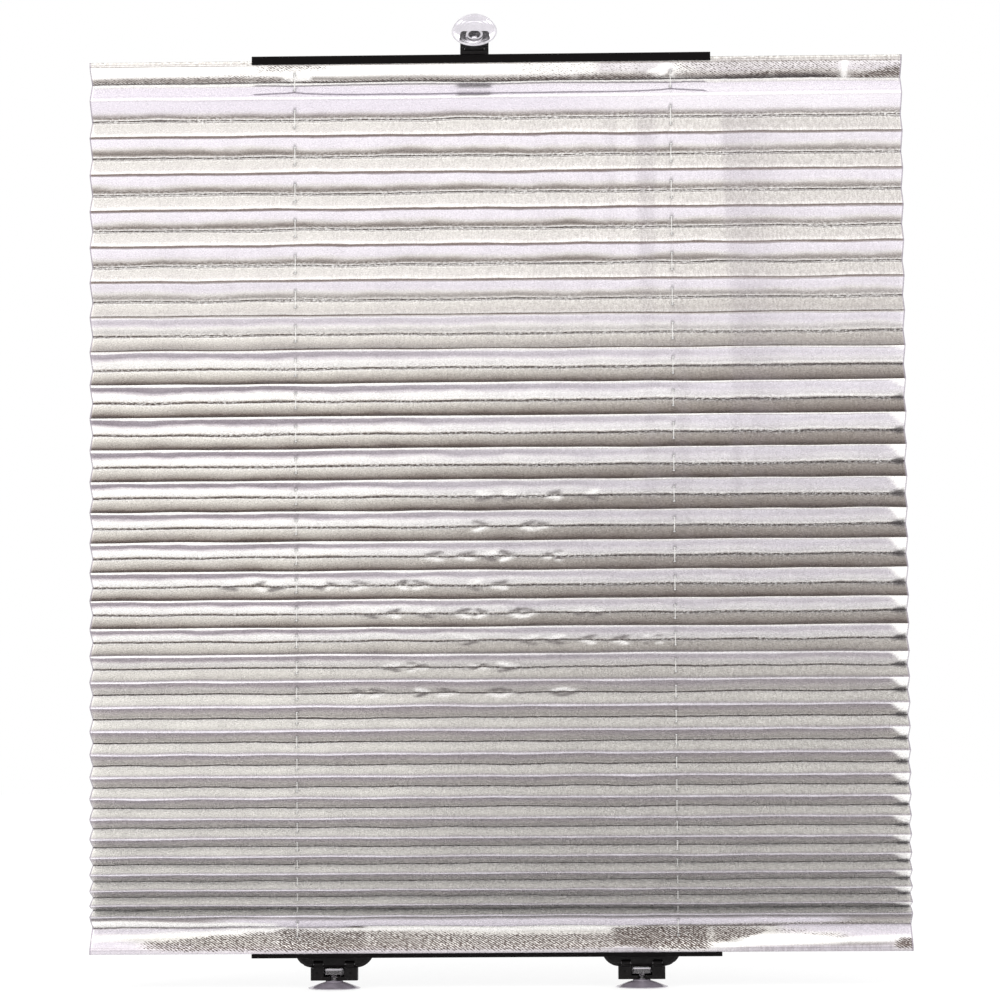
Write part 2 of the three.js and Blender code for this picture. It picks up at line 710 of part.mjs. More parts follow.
/** The tab, upright about its hinge: a plate with a knuckle between the ears and a hole for the cup. */
function tabGeometry() {
  const half = tabWidth / 2;
  const shoulder = tabKnuckleRadius + swingGap;
  const knuckleHalf = tabKnuckleWidth / 2;
  const face = new THREE.Shape();
  face.moveTo(-knuckleHalf, 0);
  face.lineTo(knuckleHalf, 0);
  face.lineTo(knuckleHalf, shoulder);
  face.lineTo(half, shoulder);
  face.absarc(half - tabCorner, tabLength - tabCorner, tabCorner, 0, Math.PI / 2);
  face.absarc(-half + tabCorner, tabLength - tabCorner, tabCorner, Math.PI / 2, Math.PI);
  face.lineTo(-half, shoulder);
  face.lineTo(-knuckleHalf, shoulder);
  const plate = alongY(face, [-tabThickness / 2, tabThickness / 2]);
  const knuckle = rod('x', tabKnuckleRadius, [-knuckleHalf, knuckleHalf], [0, 0, 0], pinSides);
  const bore = rod('x', tabPinRadius + pinGap, [-half, half], [0, 0, 0], smallSides);
  const cupHole = rod('y', upperNeckRadius + restGap,
    [-tabThickness, tabThickness], [0, 0, tabCupPlace]);
  return cut(join(plate, knuckle), bore, cupHole);
}

const materials = {
  film: new THREE.MeshStandardMaterial({ color: 0xc9c6c8, metalness: 0.9, roughness: 0.3 }),
  black: new THREE.MeshStandardMaterial({ color: 0x151517, metalness: 0, roughness: 0.5 }),
  clear: new THREE.MeshStandardMaterial({ color: 0xe4dfe6, metalness: 0, roughness: 0.12 }),
  white: new THREE.MeshStandardMaterial({ color: 0xe9e8e4, metalness: 0, roughness: 0.7 }),
  steel: new THREE.MeshStandardMaterial({ color: 0x9a9da1, metalness: 1, roughness: 0.35 }),
};

function piece(name, geometry, material) {
  const mesh = new THREE.Mesh(geometry, material);
  mesh.name = name;
  return mesh;
}

/** A reel with its cord, hinge, bracket and cup, for the right side (1) or the left side (-1). */
function reelGroup(side) {
  const label = side > 0 ? 'right' : 'left';
  const reel = new THREE.Group();
  reel.position.x = side * housingSpacing / 2;
  const add = (name, geometry, material) => {
    reel.add(piece(`${label}_${name}`, handed(geometry, side), materials[material]));
  };
  add('reel_case', caseGeometry(), 'black');
  add('reel_cover', coverGeometry(), 'black');
  add('cord_spool', spoolGeometry(), 'white');
  add('spring_drum', drumGeometry(), 'white');
  add('power_spring', springGeometry(), 'steel');
  add('cord', cordGeometry(), 'white');
  add('guide_pin', rod('y', guidePinRadius,
    [-housingFront + housingFace + restGap, caseBack], [guidePlace, 0, reelZ], pinSides), 'steel');
  add('hinge_pin', rod('x', hingePinRadius,
    [-hingePinReach, hingePinReach], [0, hingeY, hingeZ], pinSides), 'steel');
  screwPlaces.forEach(({ name, along, rise }) => {
    const screw = screwGeometry(screwLength);
    screw.translate(along, housingDepth - housingFront, housingBottom + rise);
    add(`${name}_screw`, screw, 'steel');
  });
  return reel;
}

/** A bracket and the cup in it, for the right side (1) or the left side (-1). */
function footGroup(side) {
  const label = side > 0 ? 'right' : 'left';
  const foot = new THREE.Group();
  foot.position.x = side * cupSpacing / 2;
  foot.add(piece(`${label}_bracket`, bracketGeometry(), materials.black));
  foot.add(piece(`${label}_cup`, lowerCupGeometry(), materials.clear));
  return foot;
}

/** The pull bar with its beads, the tab's base, pin and screws, and the leaning tab with its cup. */
function pullGroup() {
  const pull = new THREE.Group();
  pull.add(piece('pull_bar', barGeometry(), materials.black));
  [-1, 1].forEach((side) => {
    const label = side > 0 ? 'right' : 'left';
    const bead = piece(`${label}_cord_bead`, beadGeometry(), materials.white);
    bead.position.x = side * cordSpacing / 2;
    const fastener = screwGeometry(tabScrewLength + screwHeadHeight);
    const screw = piece(`${label}_tab_screw`, fastener, materials.steel);
    screw.position.set(tabShiftX + side * tabScrewSpacing / 2,
      barBackY + restGap + tabFlangeThickness + restGap + screwHeadHeight, barTop - tabScrewDrop);
    pull.add(bead, screw);
  });
  const base = piece('tab_base', tabBaseGeometry(), materials.black);
  base.position.x = tabShiftX;
  const pinBar = rod('x', tabPinRadius, [-tabWidth / 2, tabWidth / 2], [0, 0, 0], smallSides);
  const pin = piece('tab_pin', pinBar, materials.steel);
  pin.position.set(tabShiftX, barY, tabHingeZ);
  const tab = new THREE.Group();
  tab.position.set(tabShiftX, barY, tabHingeZ);
  tab.rotation.x = -THREE.MathUtils.degToRad(tabLean);
  tab.add(piece('upper_tab', tabGeometry(), materials.black));
  tab.add(piece('upper_cup', upperCupGeometry(), materials.clear));
  pull.add(base, pin, tab);
  return pull;
}

const sunshade = new THREE.Group();
sunshade.add(piece('pleated_film', filmGeometry(), materials.film));
sunshade.add(piece('reel_rail', railGeometry(), materials.black));
sunshade.add(reelGroup(-1), reelGroup(1), footGroup(-1), footGroup(1), pullGroup());

export default sunshade;
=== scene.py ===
"""Looks of a pull-out windscreen sunshade: pleated foil, cords, reels, brackets and suction cups.

Everything is in metres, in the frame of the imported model: +X to the right, +Y away from the silver side,
+Z up. The origin lies midway between the two lower suction cups, on the plane of their lips.
"""
import json
import logging
import math
from dataclasses import dataclass, field
from enum import Enum
from typing import Callable, Sequence

import bpy
import numpy as np
from mathutils import Matrix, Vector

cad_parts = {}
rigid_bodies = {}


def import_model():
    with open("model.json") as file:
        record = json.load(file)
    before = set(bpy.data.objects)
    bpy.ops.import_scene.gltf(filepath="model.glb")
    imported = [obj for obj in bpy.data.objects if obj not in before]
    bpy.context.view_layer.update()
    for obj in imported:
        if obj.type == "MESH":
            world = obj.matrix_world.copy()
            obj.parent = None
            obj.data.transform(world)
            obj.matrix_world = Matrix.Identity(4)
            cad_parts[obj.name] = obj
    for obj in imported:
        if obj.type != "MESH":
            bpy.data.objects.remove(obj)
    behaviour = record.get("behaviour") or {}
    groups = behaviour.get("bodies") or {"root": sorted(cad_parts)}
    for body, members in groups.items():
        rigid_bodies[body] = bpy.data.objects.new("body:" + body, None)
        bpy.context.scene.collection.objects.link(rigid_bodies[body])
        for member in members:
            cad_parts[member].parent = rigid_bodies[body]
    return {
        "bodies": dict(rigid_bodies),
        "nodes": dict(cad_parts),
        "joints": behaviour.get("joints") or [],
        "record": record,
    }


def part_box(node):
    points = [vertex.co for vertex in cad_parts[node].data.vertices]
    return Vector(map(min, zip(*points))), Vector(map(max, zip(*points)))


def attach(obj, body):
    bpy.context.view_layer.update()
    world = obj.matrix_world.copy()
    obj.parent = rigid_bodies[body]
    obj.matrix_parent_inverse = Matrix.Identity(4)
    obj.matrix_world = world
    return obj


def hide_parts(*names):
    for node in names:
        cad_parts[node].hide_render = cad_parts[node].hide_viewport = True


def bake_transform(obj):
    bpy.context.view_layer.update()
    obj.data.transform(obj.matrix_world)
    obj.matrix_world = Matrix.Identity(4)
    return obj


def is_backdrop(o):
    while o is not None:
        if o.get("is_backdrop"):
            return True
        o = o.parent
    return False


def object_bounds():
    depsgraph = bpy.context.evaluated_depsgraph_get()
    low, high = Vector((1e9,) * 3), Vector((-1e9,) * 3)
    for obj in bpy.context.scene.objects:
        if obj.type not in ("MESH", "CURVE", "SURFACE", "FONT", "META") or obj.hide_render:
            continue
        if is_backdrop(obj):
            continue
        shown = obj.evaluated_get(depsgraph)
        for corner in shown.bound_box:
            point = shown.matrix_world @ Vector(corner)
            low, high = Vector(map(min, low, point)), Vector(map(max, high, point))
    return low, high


LOG = logging.getLogger("sunshade")
MM = 0.001
CORD_X = 162.3 * MM
Colour = tuple[float, float, float]
Socket = bpy.types.NodeSocket


class Side(Enum):
    """The two hands of the reels, with their sign along X."""

    LEFT = -1
    RIGHT = 1

    @property
    def label(self) -> str:
        """The word that starts the names of this side's pieces."""
        return self.name.lower()


class Fold(Enum):
    """What a fold line of the film is, with its sign along Y."""

    RIDGE = -1
    VALLEY = 1


class Bench:
    """Adds nodes to one tree and joins them."""

    def __init__(self, tree: bpy.types.NodeTree) -> None:
        """Keeps the tree that the nodes go into."""
        self.tree = tree

    def add(self, kind: str, **settings: object) -> bpy.types.Node:
        """Adds a node.

        Args:
            kind: Blender's identifier of the node.
            settings: Properties of the node and their values.

        Returns:
            The new node.
        """
        node = self.tree.nodes.new(kind)
        for name, value in settings.items():
            setattr(node, name, value)
        return node

    def feed(self, socket: Socket, value: object) -> None:
        """Joins a socket to another one, or gives it a plain value."""
        if isinstance(value, bpy.types.NodeSocket):
            self.tree.links.new(value, socket)
        else:
            socket.default_value = value

    def dress(self, node: bpy.types.Node, values: dict[str, object]) -> None:
        """Gives a node's inputs their sockets or plain values, by name."""
        for name, value in values.items():
            self.feed(node.inputs[name], value)

    def maths(self, operation: str, *terms: object, clamp: bool = False) -> Socket:
        """Works out one step of arithmetic.

        Args:
            operation: Blender's name of the operation.
            terms: Up to three sockets or numbers.
            clamp: Whether the result is kept between 0 and 1.

        Returns:
            The socket that holds the result.
        """
        node = self.add("ShaderNodeMath", operation=operation, use_clamp=clamp)
        for socket, term in zip(node.inputs, terms):
            self.feed(socket, term)
        return node.outputs[0]

    def times(self, first: object, second: object, clamp: bool = False) -> Socket:
        """Multiplies two sockets or numbers."""
        return self.maths("MULTIPLY", first, second, clamp=clamp)

    def scaled(self, value: Socket, factor: object, offset: object) -> Socket:
        """Multiplies a value by a factor and adds an offset."""
        return self.maths("MULTIPLY_ADD", value, factor, offset)

    def split(self, vector: Socket) -> bpy.types.bpy_prop_collection:
        """Parts a vector into its X, Y and Z."""
        node = self.add("ShaderNodeSeparateXYZ")
        self.feed(node.inputs[0], vector)
        return node.outputs

    def place(self) -> Socket:
        """Reads the place on the object, in metres."""
        return self.add("ShaderNodeTexCoord").outputs["Object"]

    def uv(self, name: str) -> Socket:
        """Reads one of the mesh's UV maps."""
        return self.add("ShaderNodeUVMap", uv_map=name).outputs["UV"]

    def bump(self, shader: bpy.types.Node, height: Socket, distance: float) -> None:
        """Raises a shader's surface by a height from 0 to 1 times a distance in metres."""
        node = self.add("ShaderNodeBump")
        self.dress(node, {"Distance": distance, "Height": height})
        self.feed(shader.inputs["Normal"], node.outputs["Normal"])

    def cross(self, factor: Socket, first: Socket, second: Socket) -> Socket:
        """Mixes two shaders by a factor from 0, the first, to 1, the second."""
        node = self.add("ShaderNodeMixShader")
        for socket, value in zip(node.inputs, (factor, first, second)):
            self.feed(socket, value)
        return node.outputs[0]

    def blend(self, factor: object, first: object, second: object) -> Socket:
        """Mixes two colours by a factor from 0, the first, to 1, the second."""
        node = self.add("ShaderNodeMix", data_type="RGBA")
        self.feed(node.inputs["Factor"], factor)
        colours = [s for s in node.inputs if s.type == "RGBA"]
        for socket, colour in zip(colours, (first, second)):
            self.feed(socket, (*colour, 1.0) if isinstance(colour, tuple) else colour)
        return next(s for s in node.outputs if s.type == "RGBA")

    def noise(self, vector: Socket, scale: float, detail: float = 2.0, rough: float = 0.5) -> Socket:
        """Places a noise texture on a vector, with its scale in waves a metre, and returns its value."""
        node = self.add("ShaderNodeTexNoise")
        self.dress(node, {"Vector": vector, "Scale": scale, "Detail": detail, "Roughness": rough})
        return node.outputs["Fac"]

    def stretch(self, vector: Socket, scale: tuple[float, float, float]) -> Socket:
        """Scales a vector by three factors."""
        node = self.add("ShaderNodeMapping")
        self.dress(node, {"Vector": vector, "Scale": scale})
        return node.outputs["Vector"]

    def remap(self, value: Socket, low: float, high: float, to_low: float = 0.0,
              to_high: float = 1.0) -> Socket:
        """Carries a value from one range to another with a smooth step, kept between the ends."""
        node = self.add("ShaderNodeMapRange", interpolation_type="SMOOTHSTEP")
        self.dress(node, {"Value": value, "From Min": low, "From Max": high, "To Min": to_low,
                          "To Max": to_high})
        return node.outputs["Result"]

    def ramp(self, factor: Socket, stops: Sequence[tuple[float, Colour]]) -> Socket:
        """Turns a value into a colour by stops of (place, colour)."""
        node = self.add("ShaderNodeValToRGB")
        self.feed(node.inputs["Fac"], factor)
        elements = node.color_ramp.elements
        while len(elements) < len(stops):
            elements.new(0.5)
        for element, (place, colour) in zip(elements, stops):
            element.position = place
            element.color = (*colour, 1.0)
        return node.outputs["Color"]

    def attribute(self, name: str) -> Socket:
        """Reads a number that the mesh carries at each vertex."""
        return self.add("ShaderNodeAttribute", attribute_name=name).outputs["Fac"]


def new_group(name: str, inputs: Sequence[tuple[str, str, object]], outputs: Sequence[str]) -> tuple:
    """Starts a shader node group.

    Args:
        name: The group's name.
        inputs: Each input's name, socket type and default value.
        outputs: The names of the outputs, all of them numbers.

    Returns:
        The group's bench, its input node and its output node.
    """
    tree = bpy.data.node_groups.new(name, "ShaderNodeTree")
    for label, kind, value in inputs:
        socket = tree.interface.new_socket(label, in_out="INPUT", socket_type=kind)
        if value is not None:
            socket.default_value = value
    for label in outputs:
        tree.interface.new_socket(label, in_out="OUTPUT", socket_type="NodeSocketFloat")
    bench = Bench(tree)
    return bench, bench.add("NodeGroupInput"), bench.add("NodeGroupOutput")


def grain_group() -> bpy.types.NodeTree:
    """The fine leathery grain of moulded plastic: two noises, the finer one at a third of the height."""
    bench, source, sink = new_group("moulded_grain", [
        ("Vector", "NodeSocketVector", None), ("Scale", "NodeSocketFloat", 900.0)], ["Height", "Patches"])
    vector, scale = source.outputs["Vector"], source.outputs["Scale"]
    broad = bench.noise(vector, scale, 3.0)
    fine = bench.noise(vector, bench.times(scale, 3.1), 2.0)
    height = bench.maths("ADD", broad, bench.times(fine, 0.33))
    patches = bench.noise(vector, 34.0, 3.0)
    bench.feed(sink.inputs["Height"], height)
    bench.feed(sink.inputs["Patches"], bench.remap(patches, 0.4, 0.7))
    return bench.tree


def wear_group() -> bpy.types.NodeTree:
    """Wear along edges: where the surface stands out, broken up by a noise."""
    bench, source, sink = new_group("edge_wear", [
        ("Vector", "NodeSocketVector", None), ("Amount", "NodeSocketFloat", 0.5)], ["Mask"])
    pointed = bench.add("ShaderNodeNewGeometry").outputs["Pointiness"]
    edge = bench.remap(pointed, 0.52, 0.62)
    broken = bench.remap(bench.noise(source.outputs["Vector"], 420.0, 4.0), 0.42, 0.62)
    mask = bench.times(bench.times(edge, broken), source.outputs["Amount"])
    bench.feed(sink.inputs["Mask"], mask)
    return bench.tree


def weave_group() -> bpy.types.NodeTree:
    """The woven scrim under the foil: threads both ways, pressed through as rounded crests."""
    bench, source, sink = new_group("scrim_weave", [
        ("Vector", "NodeSocketVector", None), ("Pitch", "NodeSocketFloat", 0.0013),
        ("Drift", "NodeSocketFloat", 0.5)], ["Height", "Crossing"])
    vector, pitch = source.outputs["Vector"], source.outputs["Pitch"]
    split = bench.split(vector)
    shift = bench.times(source.outputs["Drift"], 0.0011)
    crests = []
    for axis in ("X", "Y"):
        along = bench.maths("DIVIDE", bench.maths("ADD", split[axis], shift), pitch)
        wave = bench.maths("SINE", bench.times(along, 2 * math.pi))
        crests.append(bench.scaled(wave, 0.5, 0.5))
    bench.feed(sink.inputs["Height"], bench.maths("MAXIMUM", *crests))
    bench.feed(sink.inputs["Crossing"], bench.times(*crests))
    return bench.tree


class Effects:
    """The node groups that several finishes share, each built once."""

    def __init__(self) -> None:
        """Builds the groups."""
        self.grain = grain_group()
        self.wear = wear_group()
        self.weave = weave_group()

    @staticmethod
    def place(bench: Bench, tree: bpy.types.NodeTree, vector: Socket, **values: object) -> bpy.types.Node:
        """Places a group in a material and gives it its vector and its other inputs."""
        node = bench.add("ShaderNodeGroup", node_tree=tree)
        bench.dress(node, {"Vector": vector, **values})
        return node


def new_material(name: str) -> tuple[bpy.types.Material, Bench, bpy.types.Node]:
    """Starts a material and returns it with its bench and its Principled shader."""
    material = bpy.data.materials.new(name)
    material.use_nodes = True
    return material, Bench(material.node_tree), material.node_tree.nodes["Principled BSDF"]


def shade(red: float, green: float, blue: float) -> Colour:
    """Turns a colour as it looks on a screen, from 0 to 255, into light."""
    parts = [value / 255 for value in (red, green, blue)]
    return tuple(p / 12.92 if p <= 0.04045 else ((p + 0.055) / 1.055) ** 2.4 for p in parts)


Stops = tuple[tuple[float, Colour], ...]
# Tones of the foil's painted reflections and painted shade; UMBER and the crease shade paint the shade in the
# creases.
WHITE = shade(255, 254, 251)
CREAM = shade(236, 231, 222)
MAUVE = shade(138, 129, 137)
UMBER = shade(82, 68, 61)
CREASE_SHADE = shade(44, 35, 33)


@dataclass(frozen=True)
class FoilFinish:
    """Aluminised film pressed on a woven scrim: bright, with painted reflections and painted crease shade on
    each pleat.

    Each list of stops runs up one pleat: 0 is the ridge below, 0.5 the valley and 1 the ridge above.
    """

    # Each set of stops paints reflections and shade as tones up the pleat: middle, high and low for the
    # heights of the film, shaded for its darker parts.
    middle: Stops = (
        (0.000, UMBER), (0.024, CREASE_SHADE), (0.070, UMBER), (0.120, shade(134, 126, 119)),
        (0.260, shade(190, 185, 177)), (0.400, shade(228, 225, 217)), (0.446, WHITE), (0.466, UMBER),
        (0.520, UMBER), (0.548, CREAM), (0.575, WHITE), (0.720, WHITE), (0.790, shade(206, 199, 204)),
        (0.840, MAUVE), (0.930, shade(150, 142, 149)), (0.952, WHITE), (1.000, WHITE))
    high: Stops = (
        (0.000, shade(110, 96, 90)), (0.028, shade(130, 116, 112)), (0.050, WHITE),
        (0.100, shade(240, 236, 232)), (0.150, shade(222, 218, 215)), (0.400, shade(214, 211, 206)),
        (0.440, shade(240, 237, 233)),
        (0.466, UMBER), (0.486, WHITE), (0.506, CREASE_SHADE), (0.526, UMBER), (0.542, WHITE),
        (0.566, shade(148, 139, 133)), (0.600, shade(110, 101, 95)), (0.650, shade(156, 148, 142)),
        (0.715, shade(212, 208, 205)), (0.790, shade(228, 223, 229)),
        (0.950, shade(230, 225, 233)), (0.974, shade(140, 128, 132)), (1.000, shade(110, 96, 90)))
    low: Stops = (
        (0.000, shade(214, 208, 216)), (0.040, shade(176, 170, 173)), (0.100, shade(208, 206, 200)),
        (0.280, shade(236, 234, 227)), (0.400, shade(246, 244, 238)), (0.446, WHITE), (0.462, UMBER),
        (0.500, CREASE_SHADE), (0.520, UMBER), (0.540, shade(236, 233, 226)), (0.580, shade(170, 165, 157)),
        (0.700, shade(176, 170, 165)), (0.850, shade(150, 142, 145)), (0.935, shade(128, 119, 126)),
        (0.955, shade(240, 236, 244)), (1.000, shade(240, 236, 244)))
    shaded: Stops = (
        (0.000, UMBER), (0.030, CREASE_SHADE), (0.070, shade(72, 62, 57)), (0.180, shade(108, 99, 93)),
        (0.360, shade(128, 119, 112)), (0.440, shade(92, 80, 74)), (0.462, CREASE_SHADE), (0.518, CREASE_SHADE),
        (0.538, shade(214, 209, 206)), (0.570, WHITE), (0.620, shade(214, 210, 213)),
        (0.780, shade(222, 218, 225)), (0.940, shade(232, 228, 236)), (0.960, shade(170, 164, 170)),
        (0.980, WHITE), (1.000, WHITE))
    unseen: Colour = (0.95, 0.945, 0.95)
    roughness: float = 0.27
    metallic: float = 0.5
    middle_x: float = 11 * MM
    half_width: float = 350 * MM
    weave_pitch: float = 1.9 * MM
    hatch_pitch: float = 3.1 * MM
    weave_relief: float = 0.03 * MM
    crinkle_relief: float = 0.10 * MM
    fleck_scale: float = 620.0

    def build(self, effects: Effects) -> bpy.types.Material:
        """Makes the material. Its pattern follows the film's own UV maps and the numbers its mesh carries.

        Args:
            effects: The shared node groups.

        Returns:
            The material.
        """
        material, bench, shader = new_material("bright_foil")
        uv = bench.uv("flat_film")
        drawn = bench.stretch(uv, (0.6, 1.0, 1.0))
        crinkle = bench.noise(drawn, self.fleck_scale, 1.0, 0.8)
        fleck = bench.noise(drawn, self.fleck_scale, 3.0, 0.8)
        weave = Effects.place(bench, effects.weave, uv, Pitch=self.weave_pitch, Drift=crinkle)
        drift = bench.noise(bench.stretch(uv, (0.55, 1.0, 1.0)), 34.0, 3.0)
        fine = bench.noise(bench.stretch(uv, (0.5, 1.0, 1.0)), 260.0, 2.0)
        body = self._bands(bench, uv, drift, fine)
        body = self._speckle(bench, uv, body, fleck, drift)
        body = self._marks(bench, uv, body, fleck, fine)
        # The painted reflections and shade show to the camera only; other rays see the plain unseen colour.
        seen = bench.add("ShaderNodeLightPath").outputs["Is Camera Ray"]
        bench.dress(shader, {"Base Color": bench.blend(seen, self.unseen, body), "Metallic": self.metallic,
                             "Roughness": bench.scaled(fine, 0.14, self.roughness - 0.07)})
        lift = bench.scaled(bench.attribute("near_valley"), 1.5, 0.18)
        woven = bench.times(weave.outputs["Height"], self.weave_relief / self.crinkle_relief)
        bench.bump(shader, bench.maths("ADD", woven, bench.times(crinkle, lift)), self.crinkle_relief)
        return material

    def _bands(self, bench: Bench, uv: Socket, drift: Socket, fine: Socket) -> Socket:
        """Colours each pleat by its stops of painted reflections and painted shade, with edges that wander
        between the creases, then adds painted shade in soft streaks and towards the centre and right.
        """
        split = bench.split(bench.uv("pleat"))
        signed = split["Y"]
        away = bench.maths("ABSOLUTE", signed)
        window = bench.times(away, bench.maths("SUBTRACT", 1.0, away))
        drift, fine = bench.maths("SUBTRACT", drift, 0.5), bench.maths("SUBTRACT", fine, 0.5)
        moved = bench.times(bench.times(drift, window), 0.95)
        jitter = bench.times(fine, 0.016)
        half = bench.scaled(signed, 0.5, 0.5)
        place = bench.maths("ADD", half, bench.maths("ADD", moved, jitter), clamp=True)
        body = bench.ramp(place, self.middle)
        # The shaded stops, painted shade, come in where the shaded field and the drift noise say.
        dark = bench.maths("ADD", bench.attribute("shaded"), bench.times(drift, 0.5), clamp=True)
        body = bench.blend(dark, body, bench.ramp(place, self.shaded))
        body = bench.blend(bench.attribute("aloft"), body, bench.ramp(place, self.high))
        body = bench.blend(bench.attribute("below"), body, bench.ramp(place, self.low))
        # Painted shade in soft streaks up the film.
        streak_band = bench.remap(bench.noise(bench.stretch(uv, (1.0, 0.03, 1.0)), 38.0, 1.0), 0.46, 0.62)
        body = bench.blend(bench.times(streak_band, bench.attribute("draped")), body, MAUVE)
        # Painted shade that dims the centre and right of the middle and lower film.
        return bench.blend(bench.attribute("dim"), body, shade(70, 64, 64))

    def _speckle(self, bench: Bench, uv: Socket, body: Socket, fleck: Socket, drift: Socket) -> Socket:
        """Breaks the creases up with bright flecks, painted glints, and dark flecks, painted shade in the
        crease, and draws faint threads across the pleats.
        """
        patch = bench.remap(drift, 0.35, 0.65, 0.3, 1.0)
        reach = bench.times(bench.attribute("near_valley"), patch)
        calm = bench.scaled(bench.attribute("below"), -0.6, 1.0)
        reach = bench.times(reach, calm)
        # Bright flecks are painted glints and dark flecks painted shade in the crease.
        bright = bench.times(bench.remap(fleck, 0.51, 0.56), reach, clamp=True)
        dark = bench.times(bench.remap(fleck, 0.47, 0.42), reach, clamp=True)
        body = bench.blend(bench.times(bright, 0.75), body, WHITE)
        body = bench.blend(bench.times(dark, 0.55), body, UMBER)
        threads = bench.remap(bench.noise(bench.stretch(uv, (1.0, 0.2, 1.0)), 560.0, 1.0, 0.7), 0.44, 0.56)
        veil = bench.times(threads, bench.attribute("threaded"))
        return bench.blend(bench.times(veil, 0.20), body, UMBER)

    def _marks(self, bench: Bench, uv: Socket, body: Socket, fleck: Socket, fine: Socket) -> Socket:
        """Adds the painted fields: painted lavender reflections, painted highlights, painted shade, painted
        reflected lines, the hatched scrim, a painted highlight and shade at the dents and a darker side rim.
        """
        # A painted highlight where a dent is pressed in, and painted shade where it is raised.
        dent = bench.attribute("dented")
        pressed = bench.times(dent, 1.0, clamp=True)
        raised = bench.times(dent, -1.0, clamp=True)
        body = bench.blend(pressed, body, WHITE)
        body = bench.blend(bench.times(raised, 0.85), body, shade(104, 96, 96))
        # Painted lavender reflection.
        body = bench.blend(bench.attribute("violet"), body, shade(216, 210, 219))
        # Painted highlight.
        body = bench.blend(bench.attribute("glare"), body, WHITE)
        split = bench.split(uv)
        wobble = bench.times(fine, 2.4 * MM)
        slanted = bench.scaled(split["Y"], 1.25, split["X"])
        phase = bench.maths("DIVIDE", bench.maths("ADD", slanted, wobble), self.hatch_pitch)
        stripes = bench.maths("SINE", bench.times(phase, 2 * math.pi))
        grainy = bench.times(bench.maths("SUBTRACT", fleck, 0.5), 5.5)
        pattern = bench.maths("ADD", bench.times(stripes, 0.55), grainy)
        hatched = bench.attribute("hatch")
        level = bench.scaled(hatched, 1.9, -1.3)
        inked = bench.remap(bench.maths("ADD", pattern, level), -0.25, 0.45)
        lit = bench.times(hatched, 0.55, clamp=True)
        body = bench.blend(lit, body, shade(236, 231, 226))
        cover = bench.maths("MINIMUM", 1.0, bench.times(hatched, 3.0))
        body = bench.blend(bench.times(inked, cover), body, shade(78, 65, 60))
        # Painted shade: dark patches, wedges at the pleats' ends and rings round the cord holes.
        body = bench.blend(bench.attribute("soot"), body, shade(66, 61, 62))
        # Painted reflected lines across one pleat near the top.
        for name in ("mirror_high", "mirror_low"):
            line = bench.remap(bench.maths("ABSOLUTE", bench.attribute(name)), 0.075, 0.02)
            body = bench.blend(bench.times(line, 0.8), body, shade(96, 86, 100))
        off = bench.maths("ABSOLUTE", bench.maths("SUBTRACT", split["X"], self.middle_x))
        rim = bench.remap(off, self.half_width - 1.5 * MM, self.half_width - 0.7 * MM)
        return bench.blend(bench.times(rim, 0.75), body, shade(158, 148, 162))


@dataclass(frozen=True)
class BackFinish:
    """The film's back: a dull grey coat on the scrim."""

    colour: Colour = (0.30, 0.30, 0.31)
    dusty: Colour = (0.40, 0.40, 0.40)
    roughness: float = 0.62
    metallic: float = 0.2
    weave_pitch: float = 1.3 * MM
    weave_relief: float = 0.06 * MM

    def build(self, effects: Effects) -> bpy.types.Material:
        """Makes the material on the film's own UV map."""
        material, bench, shader = new_material("coated_back")
        uv = bench.uv("flat_film")
        weave = Effects.place(bench, effects.weave, uv, Pitch=self.weave_pitch)
        clouds = bench.remap(bench.noise(uv, 24.0, 5.0), 0.4, 0.7)
        mask = bench.times(clouds, weave.outputs["Crossing"])
        bench.dress(shader, {"Base Color": bench.blend(mask, self.colour, self.dusty),
                             "Roughness": self.roughness, "Metallic": self.metallic})
        bench.bump(shader, weave.outputs["Height"], self.weave_relief)
        return material


@dataclass(frozen=True)
class PlasticFinish:
    """Moulded or extruded plastic with a fine grain, dust in patches and paler worn edges."""

    name: str
    colour: Colour
    dusty: Colour
    roughness: float
    grain: float = 1500.0
    relief: float = 0.02 * MM
    wear: float = 0.5
    specular: float = 0.5
    drawn: tuple[float, float, float] = (1.0, 1.0, 1.0)

    def build(self, effects: Effects) -> bpy.types.Material:
        """Makes the material on Object coordinates, which may be stretched along the way it was drawn."""
        material, bench, shader = new_material(self.name)
        place = bench.place()
        vector = bench.stretch(place, self.drawn)
        grain = Effects.place(bench, effects.grain, vector, Scale=self.grain)
        wear = Effects.place(bench, effects.wear, place, Amount=self.wear)
        dust = bench.times(grain.outputs["Patches"], 0.35)
        mask = bench.maths("MAXIMUM", dust, wear.outputs["Mask"])
        bench.dress(shader, {"Base Color": bench.blend(mask, self.colour, self.dusty),
                             "Roughness": bench.scaled(grain.outputs["Patches"], 0.12, self.roughness),
                             "Specular IOR Level": self.specular})
        bench.bump(shader, grain.outputs["Height"], self.relief)
        return material


@dataclass(frozen=True)
class VinylFinish:
    """Soft vinyl, a little violet, with faint cloudy patches and a milky share that the light stays in."""

    name: str
    clear: Colour
    cloudy: Colour
    roughness: float
    transmission: float
    ior: float = 1.46
    relief: float = 0.03 * MM

    def build(self, effects: Effects) -> bpy.types.Material:
        """Makes the material on Object coordinates."""
        material, bench, shader = new_material(self.name)
        place = bench.place()
        clouds = bench.remap(bench.noise(place, 110.0, 3.0), 0.35, 0.7)
        bench.dress(shader, {"Base Color": bench.blend(clouds, self.clear, self.cloudy),
                             "Roughness": bench.scaled(clouds, 0.08, self.roughness),
                             "Transmission Weight": self.transmission, "IOR": self.ior})
        grain = Effects.place(bench, effects.grain, place, Scale=260.0)
        bench.bump(shader, grain.outputs["Height"], self.relief)
        return material


